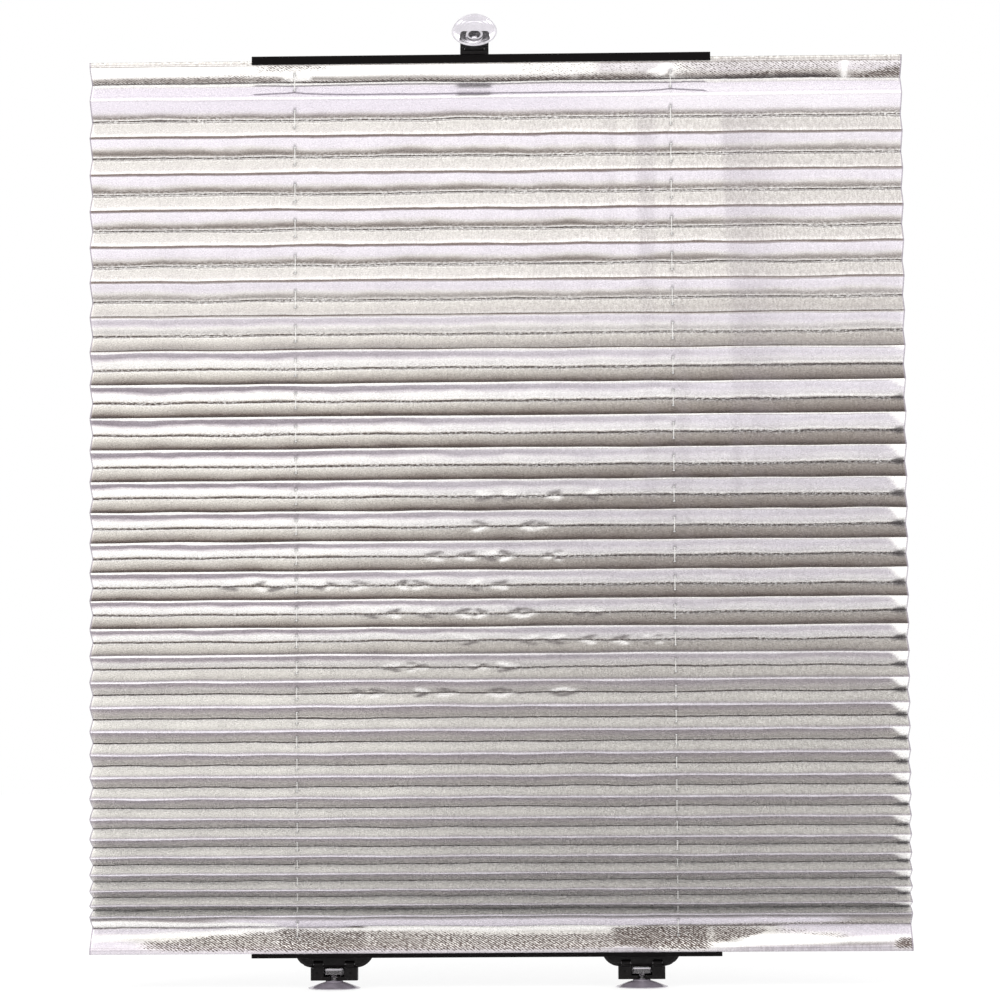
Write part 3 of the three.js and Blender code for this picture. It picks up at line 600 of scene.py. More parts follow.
# Milky vinyl: partly cloudier vinyl, partly a painted highlight where it is put on the cups' edges.
MILKY_HIGHLIGHT_VINYL = VinylFinish("milky_vinyl", (0.62, 0.60, 0.64), (0.52, 0.50, 0.54), 0.12, 0.25)
CLEAR_VINYL = VinylFinish("clear_vinyl", (0.80, 0.765, 0.815), (0.72, 0.69, 0.74), 0.05, 0.975, 1.2)
# A darker copy of the clear vinyl, on the two lower cups.
DARKENED_VINYL = VinylFinish("smoky_vinyl", (0.27, 0.24, 0.285), (0.19, 0.17, 0.20), 0.16, 0.25)
GLASSY_VINYL = VinylFinish("glassy_vinyl", (0.60, 0.57, 0.60), (0.42, 0.40, 0.42), 0.02, 0.90, 1.5, 0.7 * MM)


@dataclass(frozen=True)
class SteelFinish:
    """Plain bright steel with fine drawn lines."""

    colour: Colour = (0.58, 0.59, 0.61)
    dull: Colour = (0.42, 0.41, 0.40)
    roughness: float = 0.3

    def build(self, effects: Effects) -> bpy.types.Material:
        """Makes the material on Object coordinates, with its lines along X."""
        material, bench, shader = new_material("drawn_steel")
        place = bench.place()
        lines = bench.noise(bench.stretch(place, (0.04, 1.0, 1.0)), 2600.0, 3.0)
        patches = bench.remap(bench.noise(place, 160.0, 4.0), 0.45, 0.7)
        bench.dress(shader, {"Base Color": bench.blend(patches, self.colour, self.dull), "Metallic": 1.0,
                             "Roughness": bench.scaled(lines, 0.2, self.roughness - 0.08)})
        bench.bump(shader, lines, 0.01 * MM)
        return material


@dataclass(frozen=True)
class CordFinish:
    """Thin white braid: strands that cross in diamonds round the cord."""

    colour: Colour = (0.88, 0.88, 0.86)
    shadowed: Colour = (0.55, 0.54, 0.52)
    roughness: float = 0.7
    strands: float = 8.0
    lay: float = 1.6 * MM

    def build(self, effects: Effects) -> bpy.types.Material:
        """Makes the material on the cord's UV map: turns round it, and metres along it."""
        material, bench, shader = new_material("white_braid")
        split = bench.split(bench.uv("along_cord"))
        turn = bench.times(split["X"], self.strands / 2)
        along = bench.maths("DIVIDE", split["Y"], self.lay)
        twists = []
        for way in ("ADD", "SUBTRACT"):
            angle = bench.times(bench.maths(way, turn, along), 2 * math.pi)
            twists.append(bench.maths("SINE", angle))
        braid = bench.remap(bench.times(*twists), -1.0, 1.0)
        bench.dress(shader, {"Base Color": bench.blend(braid, self.shadowed, self.colour),
                             "Roughness": self.roughness})
        bench.bump(shader, braid, 0.05 * MM)
        return material


BLACK_MOULDED = PlasticFinish("black_moulded", (0.0042, 0.0034, 0.0036), (0.014, 0.012, 0.012), 0.42,
                              specular=0.16)
BLACK_DRAWN = PlasticFinish("black_drawn", (0.0024, 0.0018, 0.0020), (0.007, 0.006, 0.006), 0.45,
                            specular=0.07, grain=1200.0, relief=0.01 * MM, drawn=(0.05, 1.0, 1.0))
WHITE_ACETAL = PlasticFinish("white_acetal", (0.84, 0.84, 0.81), (0.70, 0.69, 0.66), 0.42, wear=0.2)


class Finishes:
    """Every material of the shade, by the record's slot names."""

    def __init__(self) -> None:
        """Builds the materials."""
        effects = Effects()
        self.foil = FoilFinish().build(effects)
        self.back = BackFinish().build(effects)
        self.moulded = BLACK_MOULDED.build(effects)
        self.drawn = BLACK_DRAWN.build(effects)
        self.milky = MILKY_HIGHLIGHT_VINYL.build(effects)
        self.vinyl = CLEAR_VINYL.build(effects)
        self.smoky = DARKENED_VINYL.build(effects)
        self.glassy = GLASSY_VINYL.build(effects)
        self.acetal = WHITE_ACETAL.build(effects)
        self.steel = SteelFinish().build(effects)
        self.braid = CordFinish().build(effects)


def make_mesh(name: str, points: np.ndarray, faces: np.ndarray, materials: Sequence[bpy.types.Material],
              smooth: bool = True) -> bpy.types.Object:
    """Makes a mesh object at the origin from points and four-cornered faces.

    Args:
        name: The piece's name.
        points: An array of points, three numbers each.
        faces: An array of faces, four point numbers each, counter-clockwise seen from outside.
        materials: The piece's materials; the first one is on every face at the start.
        smooth: Whether the faces are shaded smoothly.

    Returns:
        The new object, linked to the scene.
    """
    mesh = bpy.data.meshes.new(name)
    mesh.vertices.add(len(points))
    mesh.vertices.foreach_set("co", points.astype(np.float32).ravel())
    mesh.loops.add(faces.size)
    mesh.loops.foreach_set("vertex_index", faces.astype(np.int32).ravel())
    mesh.polygons.add(len(faces))
    mesh.polygons.foreach_set("loop_start", np.arange(0, faces.size, 4, dtype=np.int32))
    mesh.polygons.foreach_set("use_smooth", np.full(len(faces), smooth))
    mesh.update(calc_edges=True)
    mesh.validate()
    for material in materials:
        mesh.materials.append(material)
    made = bpy.data.objects.new(name, mesh)
    bpy.context.scene.collection.objects.link(made)
    return made


def corner_points(mesh: bpy.types.Mesh) -> np.ndarray:
    """The number of the point at each face corner."""
    numbers = np.zeros(len(mesh.loops), np.int32)
    mesh.loops.foreach_get("vertex_index", numbers)
    return numbers


def add_uv(mesh: bpy.types.Mesh, name: str, values: np.ndarray) -> None:
    """Gives the mesh a UV map, with two numbers for each face corner."""
    mesh.uv_layers.new(name=name).data.foreach_set("uv", values.astype(np.float32).ravel())


def nearest(values: np.ndarray, wanted: float) -> int:
    """The number of the value that lies nearest to a wanted one."""
    return int(np.argmin(np.abs(values - wanted)))


def grid_faces(rows: int, columns: int, start: int = 0, around: bool = False) -> np.ndarray:
    """The faces of a grid of points that are numbered row by row.

    Args:
        rows: How many rows of points there are.
        columns: How many points a row has.
        start: The number of the first point.
        around: Whether the last column is joined to the first.

    Returns:
        An array of faces, four point numbers each.
    """
    across = columns if around else columns - 1
    i, j = np.meshgrid(np.arange(rows - 1), np.arange(across), indexing="ij")
    after = (j + 1) % columns
    corners = [i * columns + j, i * columns + after, (i + 1) * columns + after, (i + 1) * columns + j]
    return np.stack(corners, axis=-1).reshape(-1, 4) + start


def smoothstep(value: np.ndarray) -> np.ndarray:
    """Three squares less two cubes of a value that is kept between 0 and 1."""
    held = np.clip(value, 0, 1)
    return held * held * (3 - 2 * held)


def waves(rng: np.random.Generator, along: np.ndarray, shortest: float, longest: float,
          count: int) -> np.ndarray:
    """A sum of sines with random lengths and phases, about 1 high.

    Args:
        rng: The seeded source of random numbers.
        along: Where the sum is wanted, in metres.
        shortest: The shortest wave, in metres.
        longest: The longest wave, in metres.
        count: How many sines are added.

    Returns:
        An array like along.
    """
    lengths = np.exp(rng.uniform(math.log(shortest), math.log(longest), count))
    phases = rng.uniform(0, 2 * math.pi, count)
    total = np.zeros_like(along)
    for length, phase in zip(lengths, phases):
        total = total + np.sin(2 * math.pi * along / length + phase)
    return total / math.sqrt(count)


@dataclass(frozen=True)
class Wrinkle:
    """A pressed line in the film: a smooth ridge along a stretch that fades towards both ends.

    The stretch runs from (x0, v0) to (x1, v1), with x across the shade and v along the flat film, in metres.
    """

    x0: float
    v0: float
    x1: float
    v1: float
    height: float
    width: float

    def relief(self, x: np.ndarray, v: np.ndarray) -> np.ndarray:
        """The ridge's height: a bell curve of the distance to the line, times a bump along the line."""
        run, rise = self.x1 - self.x0, self.v1 - self.v0
        length = math.hypot(run, rise)
        along = ((x - self.x0) * run + (v - self.v0) * rise) / length ** 2
        off = ((x - self.x0) * -rise + (v - self.v0) * run) / length
        fade = np.sin(np.pi * np.clip(along, 0, 1)) ** 0.7
        return self.height * fade * np.exp(-(off / self.width) ** 2)


@dataclass(frozen=True)
class Patch:
    """A soft-edged patch of one of the foil's painted fields, on one panel.

    The panel counts from the bottom, or from the top where it is negative. Across the shade the patch runs
    from x0 to x1, in metres. Up the panel, by shares of its height, it runs between two edges that go
    straight from the shares at x0 to those at x1.
    """

    field: str
    panel: int
    x0: float
    x1: float
    at_x0: tuple[float, float]
    at_x1: tuple[float, float]
    strength: float = 1.0
    soft: float = 0.12
    fade: float = 12 * MM

    def paint(self, x: np.ndarray, share: np.ndarray) -> np.ndarray:
        """The patch's strength at each point: smooth steps over its four edges, multiplied."""
        run = (x - self.x0) / (self.x1 - self.x0)
        low = self.at_x0[0] + (self.at_x1[0] - self.at_x0[0]) * run
        high = self.at_x0[1] + (self.at_x1[1] - self.at_x0[1]) * run
        across = smoothstep((x - self.x0) / self.fade + 0.5) * smoothstep((self.x1 - x) / self.fade + 0.5)
        up = smoothstep((share - low) / self.soft + 0.5) * smoothstep((high - share) / self.soft + 0.5)
        return self.strength * across * up


HOLE_SHARE = 0.5
# The glare patches paint highlights, the violet ones lavender reflections and the dark ones shade; the hatch
# ones draw the scrim's pattern.
FIELDS = ("hatch", "violet", "glare", "soot")
# Each row: field, panel, x0, x1, edges at x0, edges at x1, and then strength, softness and fade.
PATCHES = tuple(Patch(*row) for row in (
    ("glare", -2, -0.345, 0.10, (0.35, 1.2), (0.30, 1.2)),
    ("glare", -2, 0.10, 0.37, (0.45, 1.2), (0.75, 1.2), 0.25),
    ("hatch", -2, -0.345, -0.20, (-0.2, 0.28), (-0.2, 0.52), 0.72, 0.40),
    ("hatch", -2, -0.20, -0.16, (-0.2, 0.50), (-0.2, 0.20), 0.72, 0.40),
    ("hatch", -2, -0.16, 0.08, (-0.2, 0.14), (-0.2, 0.30), 0.95, 0.28),
    ("hatch", -2, 0.08, 0.155, (-0.2, 0.36), (-0.2, 0.30), 0.95, 0.30),
    ("hatch", -2, 0.165, 0.25, (-0.2, 0.02), (-0.2, 0.42), 1.0, 0.24),
    ("hatch", -2, 0.25, 0.31, (-0.2, 0.42), (-0.2, 0.16), 1.0, 0.24),
    ("hatch", -2, 0.316, 0.37, (-0.2, 0.16), (0.1, 0.95), 0.9, 0.40),
    ("hatch", -2, 0.02, 0.15, (0.1, 1.1), (0.1, 1.2), 0.36, 0.30, 50 * MM),
    ("hatch", -2, 0.165, 0.308, (0.1, 1.1), (0.1, 1.2), 0.56, 0.30),
    ("hatch", -2, 0.316, 0.37, (0.1, 1.1), (0.1, 1.2), 0.46, 0.30),
    ("hatch", -2, -0.195, -0.13, (0.60, 1.2), (0.75, 1.2), 0.62, 0.30, 30 * MM),
    ("glare", -2, -0.172, -0.148, (0.10, 0.42), (0.10, 0.42), 1.0, 0.12, 6 * MM),
    ("glare", -2, 0.309, 0.315, (-0.1, 1.2), (-0.1, 1.2), 0.9, 0.12, 3 * MM),
    ("glare", -3, -0.345, 0.37, (0.86, 1.2), (0.90, 1.2), 0.9),
    ("violet", -3, -0.345, 0.37, (-0.2, 0.80), (-0.2, 0.80), 1.0),
    ("glare", -3, 0.05, 0.37, (-0.2, 0.70), (-0.2, 0.50), 0.15, 0.5, 120 * MM),
    ("glare", -3, -0.345, 0.37, (-0.2, 0.10), (-0.2, 0.10), 0.9, 0.08),
    ("soot", -3, -0.022, 0.008, (0.56, 0.92), (0.56, 0.92), 0.85, 0.22, 6 * MM),
    ("soot", -3, -0.022, 0.008, (0.08, 0.30), (0.08, 0.30), 0.80, 0.16, 6 * MM),
    ("violet", -4, -0.345, 0.37, (0.35, 1.2), (0.35, 1.2), 0.8, 0.3),
    ("glare", -4, 0.10, 0.37, (0.35, 1.2), (0.35, 1.2), 0.2, 0.3, 90 * MM),
    ("soot", -2, 0.10, 0.30, (-0.2, 0.06), (-0.2, 0.24), 0.85, 0.24, 40 * MM),
    ("soot", -2, -0.345, 0.12, (-0.2, 0.04), (-0.2, 0.08), 0.7, 0.16, 40 * MM),
    ("soot", 2, -0.345, -0.19, (0.66, 0.98), (0.74, 0.96), 0.60, 0.16, 30 * MM),
    ("soot", 2, -0.17, 0.37, (0.70, 0.94), (0.70, 0.97), 0.66, 0.16, 60 * MM),
    ("glare", 2, -0.345, -0.18, (-0.1, 0.62), (0.05, 0.30), 1.0, 0.16),
    ("violet", 2, -0.29, 0.28, (0.42, 0.44), (-0.2, 0.66), 1.0, 0.16, 60 * MM),
    ("violet", 2, -0.23, 0.30, (0.02, 0.70), (-0.2, 0.70), 1.0, 0.12, 40 * MM),
    ("hatch", 2, 0.19, 0.355, (-0.2, 0.10), (-0.1, 0.30), 0.85, 0.20, 60 * MM),
    ("violet", 1, -0.345, -0.12, (0.55, 0.92), (0.90, 0.98), 0.9, 0.10),
    ("violet", 1, -0.345, -0.25, (0.05, 0.40), (0.05, 0.20), 0.9, 0.10),
    ("glare", 1, -0.345, -0.17, (0.40, 0.52), (0.72, 1.0), 1.0, 0.14),
    ("hatch", 1, -0.295, -0.17, (0.02, 0.34), (-0.2, 0.86), 0.80, 0.12, 22 * MM),
    ("hatch", 1, -0.180, -0.10, (-0.2, 0.92), (-0.2, 0.80), 0.92, 0.12),
    ("glare", 1, -0.176, -0.150, (0.52, 0.92), (0.52, 0.92), 1.0, 0.12, 8 * MM),
    ("glare", 1, -0.150, -0.095, (0.72, 0.90), (0.30, 0.62), 0.85, 0.16, 8 * MM),
    ("glare", 1, -0.178, -0.145, (0.05, 0.30), (0.05, 0.30), 0.7, 0.12, 10 * MM),
    ("hatch", 1, -0.105, 0.11, (-0.2, 0.74), (0.0, 0.64), 0.84, 0.10),
    ("glare", 1, -0.06, 0.11, (0.0, 0.60), (0.0, 0.60), 0.42, 0.2, 60 * MM),
    ("glare", 1, -0.105, 0.13, (0.80, 1.1), (0.76, 1.1), 0.8, 0.10),
    ("hatch", 1, 0.105, 0.19, (0.05, 0.95), (-0.1, 0.95), 0.95, 0.12),
    ("hatch", 1, 0.19, 0.24, (0.10, 0.92), (0.62, 0.86), 0.88, 0.12),
    ("glare", 1, 0.150, 0.162, (0.45, 0.95), (0.45, 0.95), 1.0, 0.12, 5 * MM),
    ("glare", 1, 0.145, 0.36, (-0.1, 0.16), (0.30, 0.50), 1.0, 0.16, 16 * MM),
    ("glare", 1, 0.215, 0.30, (0.05, 0.55), (0.15, 0.60), 1.0, 0.2, 20 * MM),
    ("violet", 1, 0.25, 0.37, (0.50, 1.0), (0.10, 1.0), 0.9, 0.2, 20 * MM),
    ("hatch", 1, 0.24, 0.31, (0.66, 0.86), (0.36, 0.52), 0.62, 0.14, 20 * MM),
    ("hatch", 1, 0.345, 0.37, (-0.1, 0.28), (-0.1, 0.48), 0.98, 0.10, 6 * MM),
))


@dataclass
class FoldPlan:
    """The film's fold lines, worked out from the panel and the pitch of the pleats."""

    panel: float = 23.4 * MM
    hem: float = 4 * MM
    hem_setback: float = 10.6 * MM
    last_panel_rise: float = 22.1 * MM
    last_turn_rise: float = 10 * MM
    last_pitch: float = 9 * MM
    easing: int = 30
    ease: float = 0.013
    ease_growth: float = 0.000278

    def lines(self, low: float, high: float) -> np.ndarray:
        """Lists the fold lines from the bottom edge to the top edge.

        The pitch shrinks downwards by a share that is 1 less a line and a square of the pleat's number.
        Each fold stands out by half the depth that the panel's length and its rise leave.

        Args:
            low: Height of the film's bottom edge.
            high: Height of its top edge.

        Returns:
            An array of (y, z).
        """
        number = np.arange(self.easing)
        shares = 1 - self.ease * number - self.ease_growth * number ** 2
        eased = high - low - self.last_panel_rise - self.last_turn_rise - self.last_pitch
        half = np.repeat(shares[::-1] * eased / shares.sum() / 2, 2)
        rises = np.concatenate([[self.last_panel_rise, self.last_turn_rise], [self.last_pitch / 2] * 2, half])
        after = np.append(rises[1:], rises[-1])
        depth = np.sqrt(self.panel ** 2 - ((rises + after) / 2) ** 2) / 2
        sign = np.where(np.arange(len(rises)) % 2 == 0, Fold.VALLEY.value, Fold.RIDGE.value)
        y, z = sign * depth, low + np.cumsum(rises)
        y = np.concatenate([[-self.hem_setback] * 2, y, [y[-1]]])
        z = np.concatenate([[low, low + self.hem], z[:-1], [z[-1] - self.hem, z[-1]]])
        return np.stack([y, z], axis=1)


@dataclass
class PleatedFilm:
    """The pleated film, made as strips from the bottom to the top."""

    folds: FoldPlan = field(default_factory=FoldPlan)
    gauge: float = 0.5 * MM
    column_pitch: float = 2.5 * MM
    hole: float = 0.9 * MM
    crease_round: float = 0.25 * MM
    shares: tuple[float, ...] = (0.035, 0.14, 0.30, 0.453, 0.5, 0.547, 0.70, 0.86, 0.965)
    strip_ends: tuple[int, ...] = (0, 1, 2, 4, 8, 14, 20, 26, 32, 38, 44, 50, 56, 60, 62, 63, 64)
    ridge_sway: float = 0.25 * MM
    valley_sway: float = 0.35 * MM
    valley_crumple: float = 0.10 * MM
    bow: float = 0.45 * MM
    swell: float = 0.16 * MM
    fine_crumple: float = 0.035 * MM
    crumple_reach: float = 5 * MM
    first_lift: float = 12 * MM
    dents: tuple[tuple[float, tuple[float, float]], ...] = (
        (404 * MM, (0.0, 0.06)), (380 * MM, (-0.06, 0.08)), (352 * MM, (-0.22, 0.03)),
        (330 * MM, (-0.10, 0.12)), (306 * MM, (0.0, 0.17)), (284 * MM, (-0.09, 0.05)),
        (430 * MM, (0.0, 0.10)), (259 * MM, (-0.10, 0.10)))
    dent_pitch: float = 26 * MM
    dent_width: float = 2.7 * MM
    dent_depth: float = 0.42 * MM
    pucker_lift: float = 0.9 * MM
    pucker_width: float = 2.2 * MM
    facet_width: float = 22 * MM
    mirror_ends: tuple[float, float] = (-0.205, 0.200)
    mirror_soft: float = 8 * MM
    dip_width: float = 22 * MM
    mirrors: tuple[tuple[str, float, float], ...] = (("mirror_high", 0.84, 0.05), ("mirror_low", 0.22, -0.16))
    seed: int = 11

    def columns(self, low: float, high: float, cords: Sequence[float]) -> np.ndarray:
        """Places the columns: evenly spaced, with closer ones round each cord."""
        even = np.linspace(low, high, round((high - low) / self.column_pitch) + 1)
        near = np.array([0.0, 1.0, 2.6, 4.8]) * self.hole
        for x in cords:
            even = even[np.abs(even - x) > near[-1] + 0.4 * self.column_pitch]
            even = np.concatenate([even, x + near, x - near[1:]])
        return np.sort(even)

    def wrinkles(self, rng: np.random.Generator, valleys: np.ndarray, cords: Sequence[float],
                 length: float) -> list[Wrinkle]:
        """Lists the pressed marks of handling: fish-tail dents in the middle, and puckers at the cords.

        Args:
            rng: The seeded source of random numbers.
            valleys: Each valley's place along the flat film and its height.
            cords: Where the cords stand, along X.
            length: The flat film's length.

        Returns:
            The wrinkles.
        """
        marks = []
        for height, spread in self.dents:
            v = valleys[nearest(valleys[:, 1], height), 0]
            for x in np.arange(*spread, self.dent_pitch) + rng.uniform(-8, 8) * MM:
                x = x + rng.uniform(-6, 6) * MM
                way = rng.choice([-1, 1])
                reach = rng.uniform(11, 21) * MM
                lift = rng.uniform(0.45, 0.85) * MM * rng.choice([-1, 1])
                drop = rng.uniform(6, 10) * MM
                for up in (1, -1):
                    marks.append(Wrinkle(x, v, x + way * reach, v + up * drop, up * lift, self.dent_width))
        for x in cords:
            for v in (length - 13 * MM, 12 * MM):
                for angle in np.linspace(0.2, 2 * math.pi, 9)[:-1] + rng.uniform(-0.2, 0.2, 8):
                    reach = rng.uniform(12, 30) * MM
                    marks.append(Wrinkle(
                        x + 2 * MM * math.cos(angle), v + 2 * MM * math.sin(angle),
                        x + reach * math.cos(angle), v + 0.45 * reach * math.sin(angle),
                        self.pucker_lift * rng.uniform(0.4, 1.0), self.pucker_width))
        return marks

    def _sway(self, rng: np.random.Generator, x: np.ndarray, base: np.ndarray,
              kinds: np.ndarray) -> np.ndarray:
        """Lets the fold lines sway by sums of sines, with finer ones in the valleys, and rounds them."""
        sway = np.zeros((len(base), len(x), 2))
        for k in range(2, len(base) - 2):
            valley = kinds[k] > 0
            size = self.valley_sway if valley else self.ridge_sway
            sway[k, :, 0] = size * 0.5 * waves(rng, x, 0.05, 0.4, 5)
            sway[k, :, 1] = size * waves(rng, x, 0.07, 0.5, 5)
            if valley:
                sway[k, :, 1] += self.valley_crumple * waves(rng, x, 0.006, 0.03, 9)
                sway[k, :, 0] += self.valley_crumple * waves(rng, x, 0.006, 0.03, 9)
            sway[k, :, 0] -= kinds[k] * self.crease_round
        return base[:, None, :] + sway

    def _swells(self, rng: np.random.Generator, x: np.ndarray, panel: np.ndarray, share: np.ndarray,
                count: int) -> np.ndarray:
        """Works out each panel's bow with its long swells and tilts, which are nothing at the folds."""
        relief = np.zeros((len(share), len(x)))
        for k in range(1, count - 2):
            here = panel == k
            s = share[here][:, None]
            bend = waves(rng, x, 0.25, 0.9, 3)[None, :]
            swells = waves(rng, x, 0.03, 0.14, 6)[None, :] * np.sin(np.pi * s)
            tilt = waves(rng, x, 0.05, 0.3, 5)[None, :] * np.sin(2 * np.pi * s)
            relief[here] = (self.bow * (0.75 + 0.35 * bend) * np.sin(np.pi * s)
                            + self.swell * swells + 0.7 * self.swell * tilt)
        return relief

    @staticmethod
    def _crumple(rng: np.random.Generator, grid_x: np.ndarray, grid_v: np.ndarray) -> np.ndarray:
        """Adds up ten slanting waves of 4 to 14 mm."""
        crumple = np.zeros_like(grid_x)
        for _ in range(10):
            kx, kv = rng.uniform(5, 14) * MM, rng.uniform(4, 12) * MM
            slant = grid_x / kx + rng.choice([-1, 1]) * grid_v / kv
            crumple += np.sin(2 * np.pi * slant + rng.uniform(0, 6.3))
        return crumple

    def build(self, finishes: Finishes, cords: Sequence[float]) -> list[bpy.types.Object]:
        """Builds the strips.

        A panel's point is a share of the way from its lower fold to its upper one, moved along the panel's
        normal by the relief. The relief is nothing at the folds, and between them it adds a bow, long swells,
        fine crumples near the valley and the wrinkles. Fold lines sway by sums of sines.

        Args:
            finishes: The shade's materials.
            cords: Where the cords stand, along X.

        Returns:
            The strips, from the bottom to the top.
        """
        lo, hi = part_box("pleated_film")
        rng = np.random.default_rng(self.seed)
        base = self.folds.lines(lo.z, hi.z)
        x = self.columns(lo.x, hi.x, cords)
        count = len(base)
        kinds = np.sign(base[:, 0])
        lines = self._sway(rng, x, base, kinds)
        step = np.hypot(*np.diff(base, axis=0).T)
        flat = np.concatenate([[0], np.cumsum(step)])
        valley_rows = np.array([(flat[k], base[k, 1]) for k in range(2, count - 2) if kinds[k] > 0])
        marks = self.wrinkles(rng, valley_rows, cords, float(flat[-1]))
        knots = np.array([0.0, *self.shares])
        rows = []
        for k in range(count - 1):
            hem = k in (0, count - 2)
            rows += [(k, s) for s in ((0.0,) if hem else knots)]
        rows.append((count - 2, 1.0))
        panel = np.array([r[0] for r in rows])
        share = np.array([r[1] for r in rows])
        v = flat[panel] + share * step[panel]
        points = np.zeros((len(rows), len(x), 3))
        points[:, :, 0] = x
        line = lines[panel] * (1 - share)[:, None, None] + lines[panel + 1] * share[:, None, None]
        along = np.diff(base, axis=0) / step[:, None]
        normal = np.stack([-along[:, 1], along[:, 0]], axis=1)[panel]
        upward = (kinds[panel] < 0).astype(float)
        from_valley = np.where(kinds[panel] > 0, share, 1 - share)
        grid_x, grid_v = np.meshgrid(x, v)
        relief = self._swells(rng, x, panel, share, count)
        near = np.exp(-((from_valley * self.folds.panel) / self.crumple_reach) ** 2)
        near = near * smoothstep(share * 12) * smoothstep((1 - share) * 12)
        relief += self.fine_crumple * self._crumple(rng, grid_x, grid_v) * near[:, None]
        held = smoothstep(np.sin(np.pi * share) * 3)[:, None]
        pressed = np.zeros_like(grid_x)
        for mark in marks:
            pressed += mark.relief(grid_x, grid_v) * held
        relief += pressed
        points[:, :, 1:] = line + normal[:, None, :] * relief[:, :, None]
        self._round_holes(points, x, share, cords)
        fields = self._fields(panel, share, grid_x, base, kinds, from_valley, step)
        fields["dented"] = np.clip(pressed / self.dent_depth, -1, 1)
        # Painted shade round each cord hole.
        for cord in cords:
            column = nearest(x, cord)
            for row in np.nonzero(np.isclose(share, HOLE_SHARE))[0]:
                fields["soot"][row - 1:row + 2, column - 1:column + 2] = 0.6
        pleat_v = np.where(upward > 0, -from_valley, from_valley)
        start_rows = [int(np.argmax(panel >= k)) for k in range(count - 1)] + [len(rows) - 1]
        strips = []
        for number, (first, last) in enumerate(zip(self.strip_ends, self.strip_ends[1:])):
            low_row = 0 if first == 0 else start_rows[first + 1]
            high_row = len(rows) - 1 if last == self.strip_ends[-1] else start_rows[last + 1]
            cut = slice(low_row, high_row + 1)
            strips.append(self._strip(f"film_strip_{number + 1:02d}", points[cut], grid_x[cut], grid_v[cut],
                                      {name: values[cut] for name, values in fields.items()},
                                      share[cut], pleat_v[cut], upward[cut], x, cords, finishes))
            self._follow(strips[-1], base[first + 1, 1], base[last + 1, 1], base[1, 1] + self.first_lift,
                         base[-2, 1], float(v[high_row] - v[low_row]), hi.x - lo.x)
        return strips

    def _fields(self, panel: np.ndarray, share: np.ndarray, grid_x: np.ndarray, base: np.ndarray,
                kinds: np.ndarray, from_valley: np.ndarray, step: np.ndarray) -> dict[str, np.ndarray]:
        """Works out the numbers that the foil's material reads at each point.

        Most follow the distance to the valley, the height and the place across the shade, and some of them
        steer painted shade. The painted highlights, lavender reflections and shade come from the patches and
        from the pleats' right ends, and the painted reflected lines are signed distances to a curve that dips
        beside each cord.
        """
        height = base[panel, 1] * (1 - share) + base[panel + 1, 1] * share
        aloft = (height - base[0, 1]) / (base[-1, 1] - base[0, 1])
        ones = np.ones_like(grid_x)
        hi_x = grid_x.max()
        side = smoothstep((grid_x + 0.24) / 0.44)
        belt = np.exp(-((aloft - 0.50) / 0.26) ** 2)[:, None]
        upper = smoothstep((aloft - 0.45) / 0.2)[:, None] * smoothstep((grid_x - 0.13) / 0.10)
        streak_band = smoothstep((grid_x - 0.08) / 0.06) * smoothstep((0.27 - grid_x) / 0.05)
        metres = (from_valley * step[panel])[:, None]
        reach = 2.0 * MM + 2.6 * MM * smoothstep((aloft - 0.22) / 0.2)[:, None]
        # The shaded field and the streaks steer painted shade.
        fields = {
            "near_valley": np.exp(-(metres / reach) ** 2) * ones,
            "aloft": 0.96 * smoothstep((aloft - 0.62) / 0.16)[:, None] * (1 - 0.12 * upper),
            "below": 0.95 * smoothstep((0.375 - aloft) / 0.11)[:, None] * ones,
            "shaded": np.clip(0.75 * side * belt + 0.25 * upper, 0, 1),
            "draped": 0.05 + 0.20 * smoothstep((aloft - 0.4) / 0.2)[:, None] * streak_band,
            "threaded": np.where(kinds[panel] < 0, 1.0, 0.35)[:, None] * (0.35 + 0.65 * side),
        }
        # Painted shade that dims the centre and right of the middle and lower film.
        lower = smoothstep((0.62 - aloft) / 0.12)[:, None]
        across = smoothstep((grid_x + 0.20) / 0.30)
        fields["dim"] = lower * across * (0.18 + 0.07 * smoothstep((0.34 - aloft) / 0.06)[:, None])
        fields.update({name: np.zeros_like(grid_x) for name in FIELDS})
        last = len(base) - 2
        for patch in PATCHES:
            rows = panel == (patch.panel if patch.panel >= 0 else last + 1 + patch.panel)
            painted = patch.paint(grid_x[rows], share[rows][:, None])
            fields[patch.field][rows] = np.maximum(fields[patch.field][rows], painted)
        # Near the right edge each pleat gets a painted glint and a painted shade wedge.
        edge = hi_x - grid_x
        tip = smoothstep(1 - edge / self.facet_width) * smoothstep((0.78 - aloft) / 0.3)[:, None]
        end_glint = smoothstep((from_valley[:, None] - 1.05 + 1.1 * tip) / 0.2) * smoothstep(tip * 8)
        middle = ((panel > 2) & (panel < last - 3))[:, None]
        end_glint = end_glint * middle * np.where(kinds[panel] > 0, 0.9, 0.0)[:, None]
        fields["glare"] = np.maximum(fields["glare"], end_glint)
        end_shade = smoothstep((0.34 * tip - from_valley[:, None]) / 0.14 + 0.3) * smoothstep(tip * 3 - 0.5)
        fields["soot"] = np.maximum(fields["soot"], 0.9 * end_shade * middle * smoothstep(edge / (3 * MM)))
        mirror = last - 2
        start, end = self.mirror_ends
        soft = self.mirror_soft
        cover = smoothstep((grid_x - start) / soft) * smoothstep((end - grid_x) / soft)
        dip = sum(np.exp(-np.abs(grid_x - cord) / self.dip_width) for cord in (-CORD_X, CORD_X))
        for name, level, sag in self.mirrors:
            distance = np.where(panel > mirror, 1.0, -1.0)[:, None] * ones
            here = panel == mirror
            curve = level - sag * dip[here]
            distance[here] = share[here][:, None] - curve
            away = np.where(distance < 0, -1.0, 1.0)
            fields[name] = distance * cover + away * (1 - cover)
        return fields

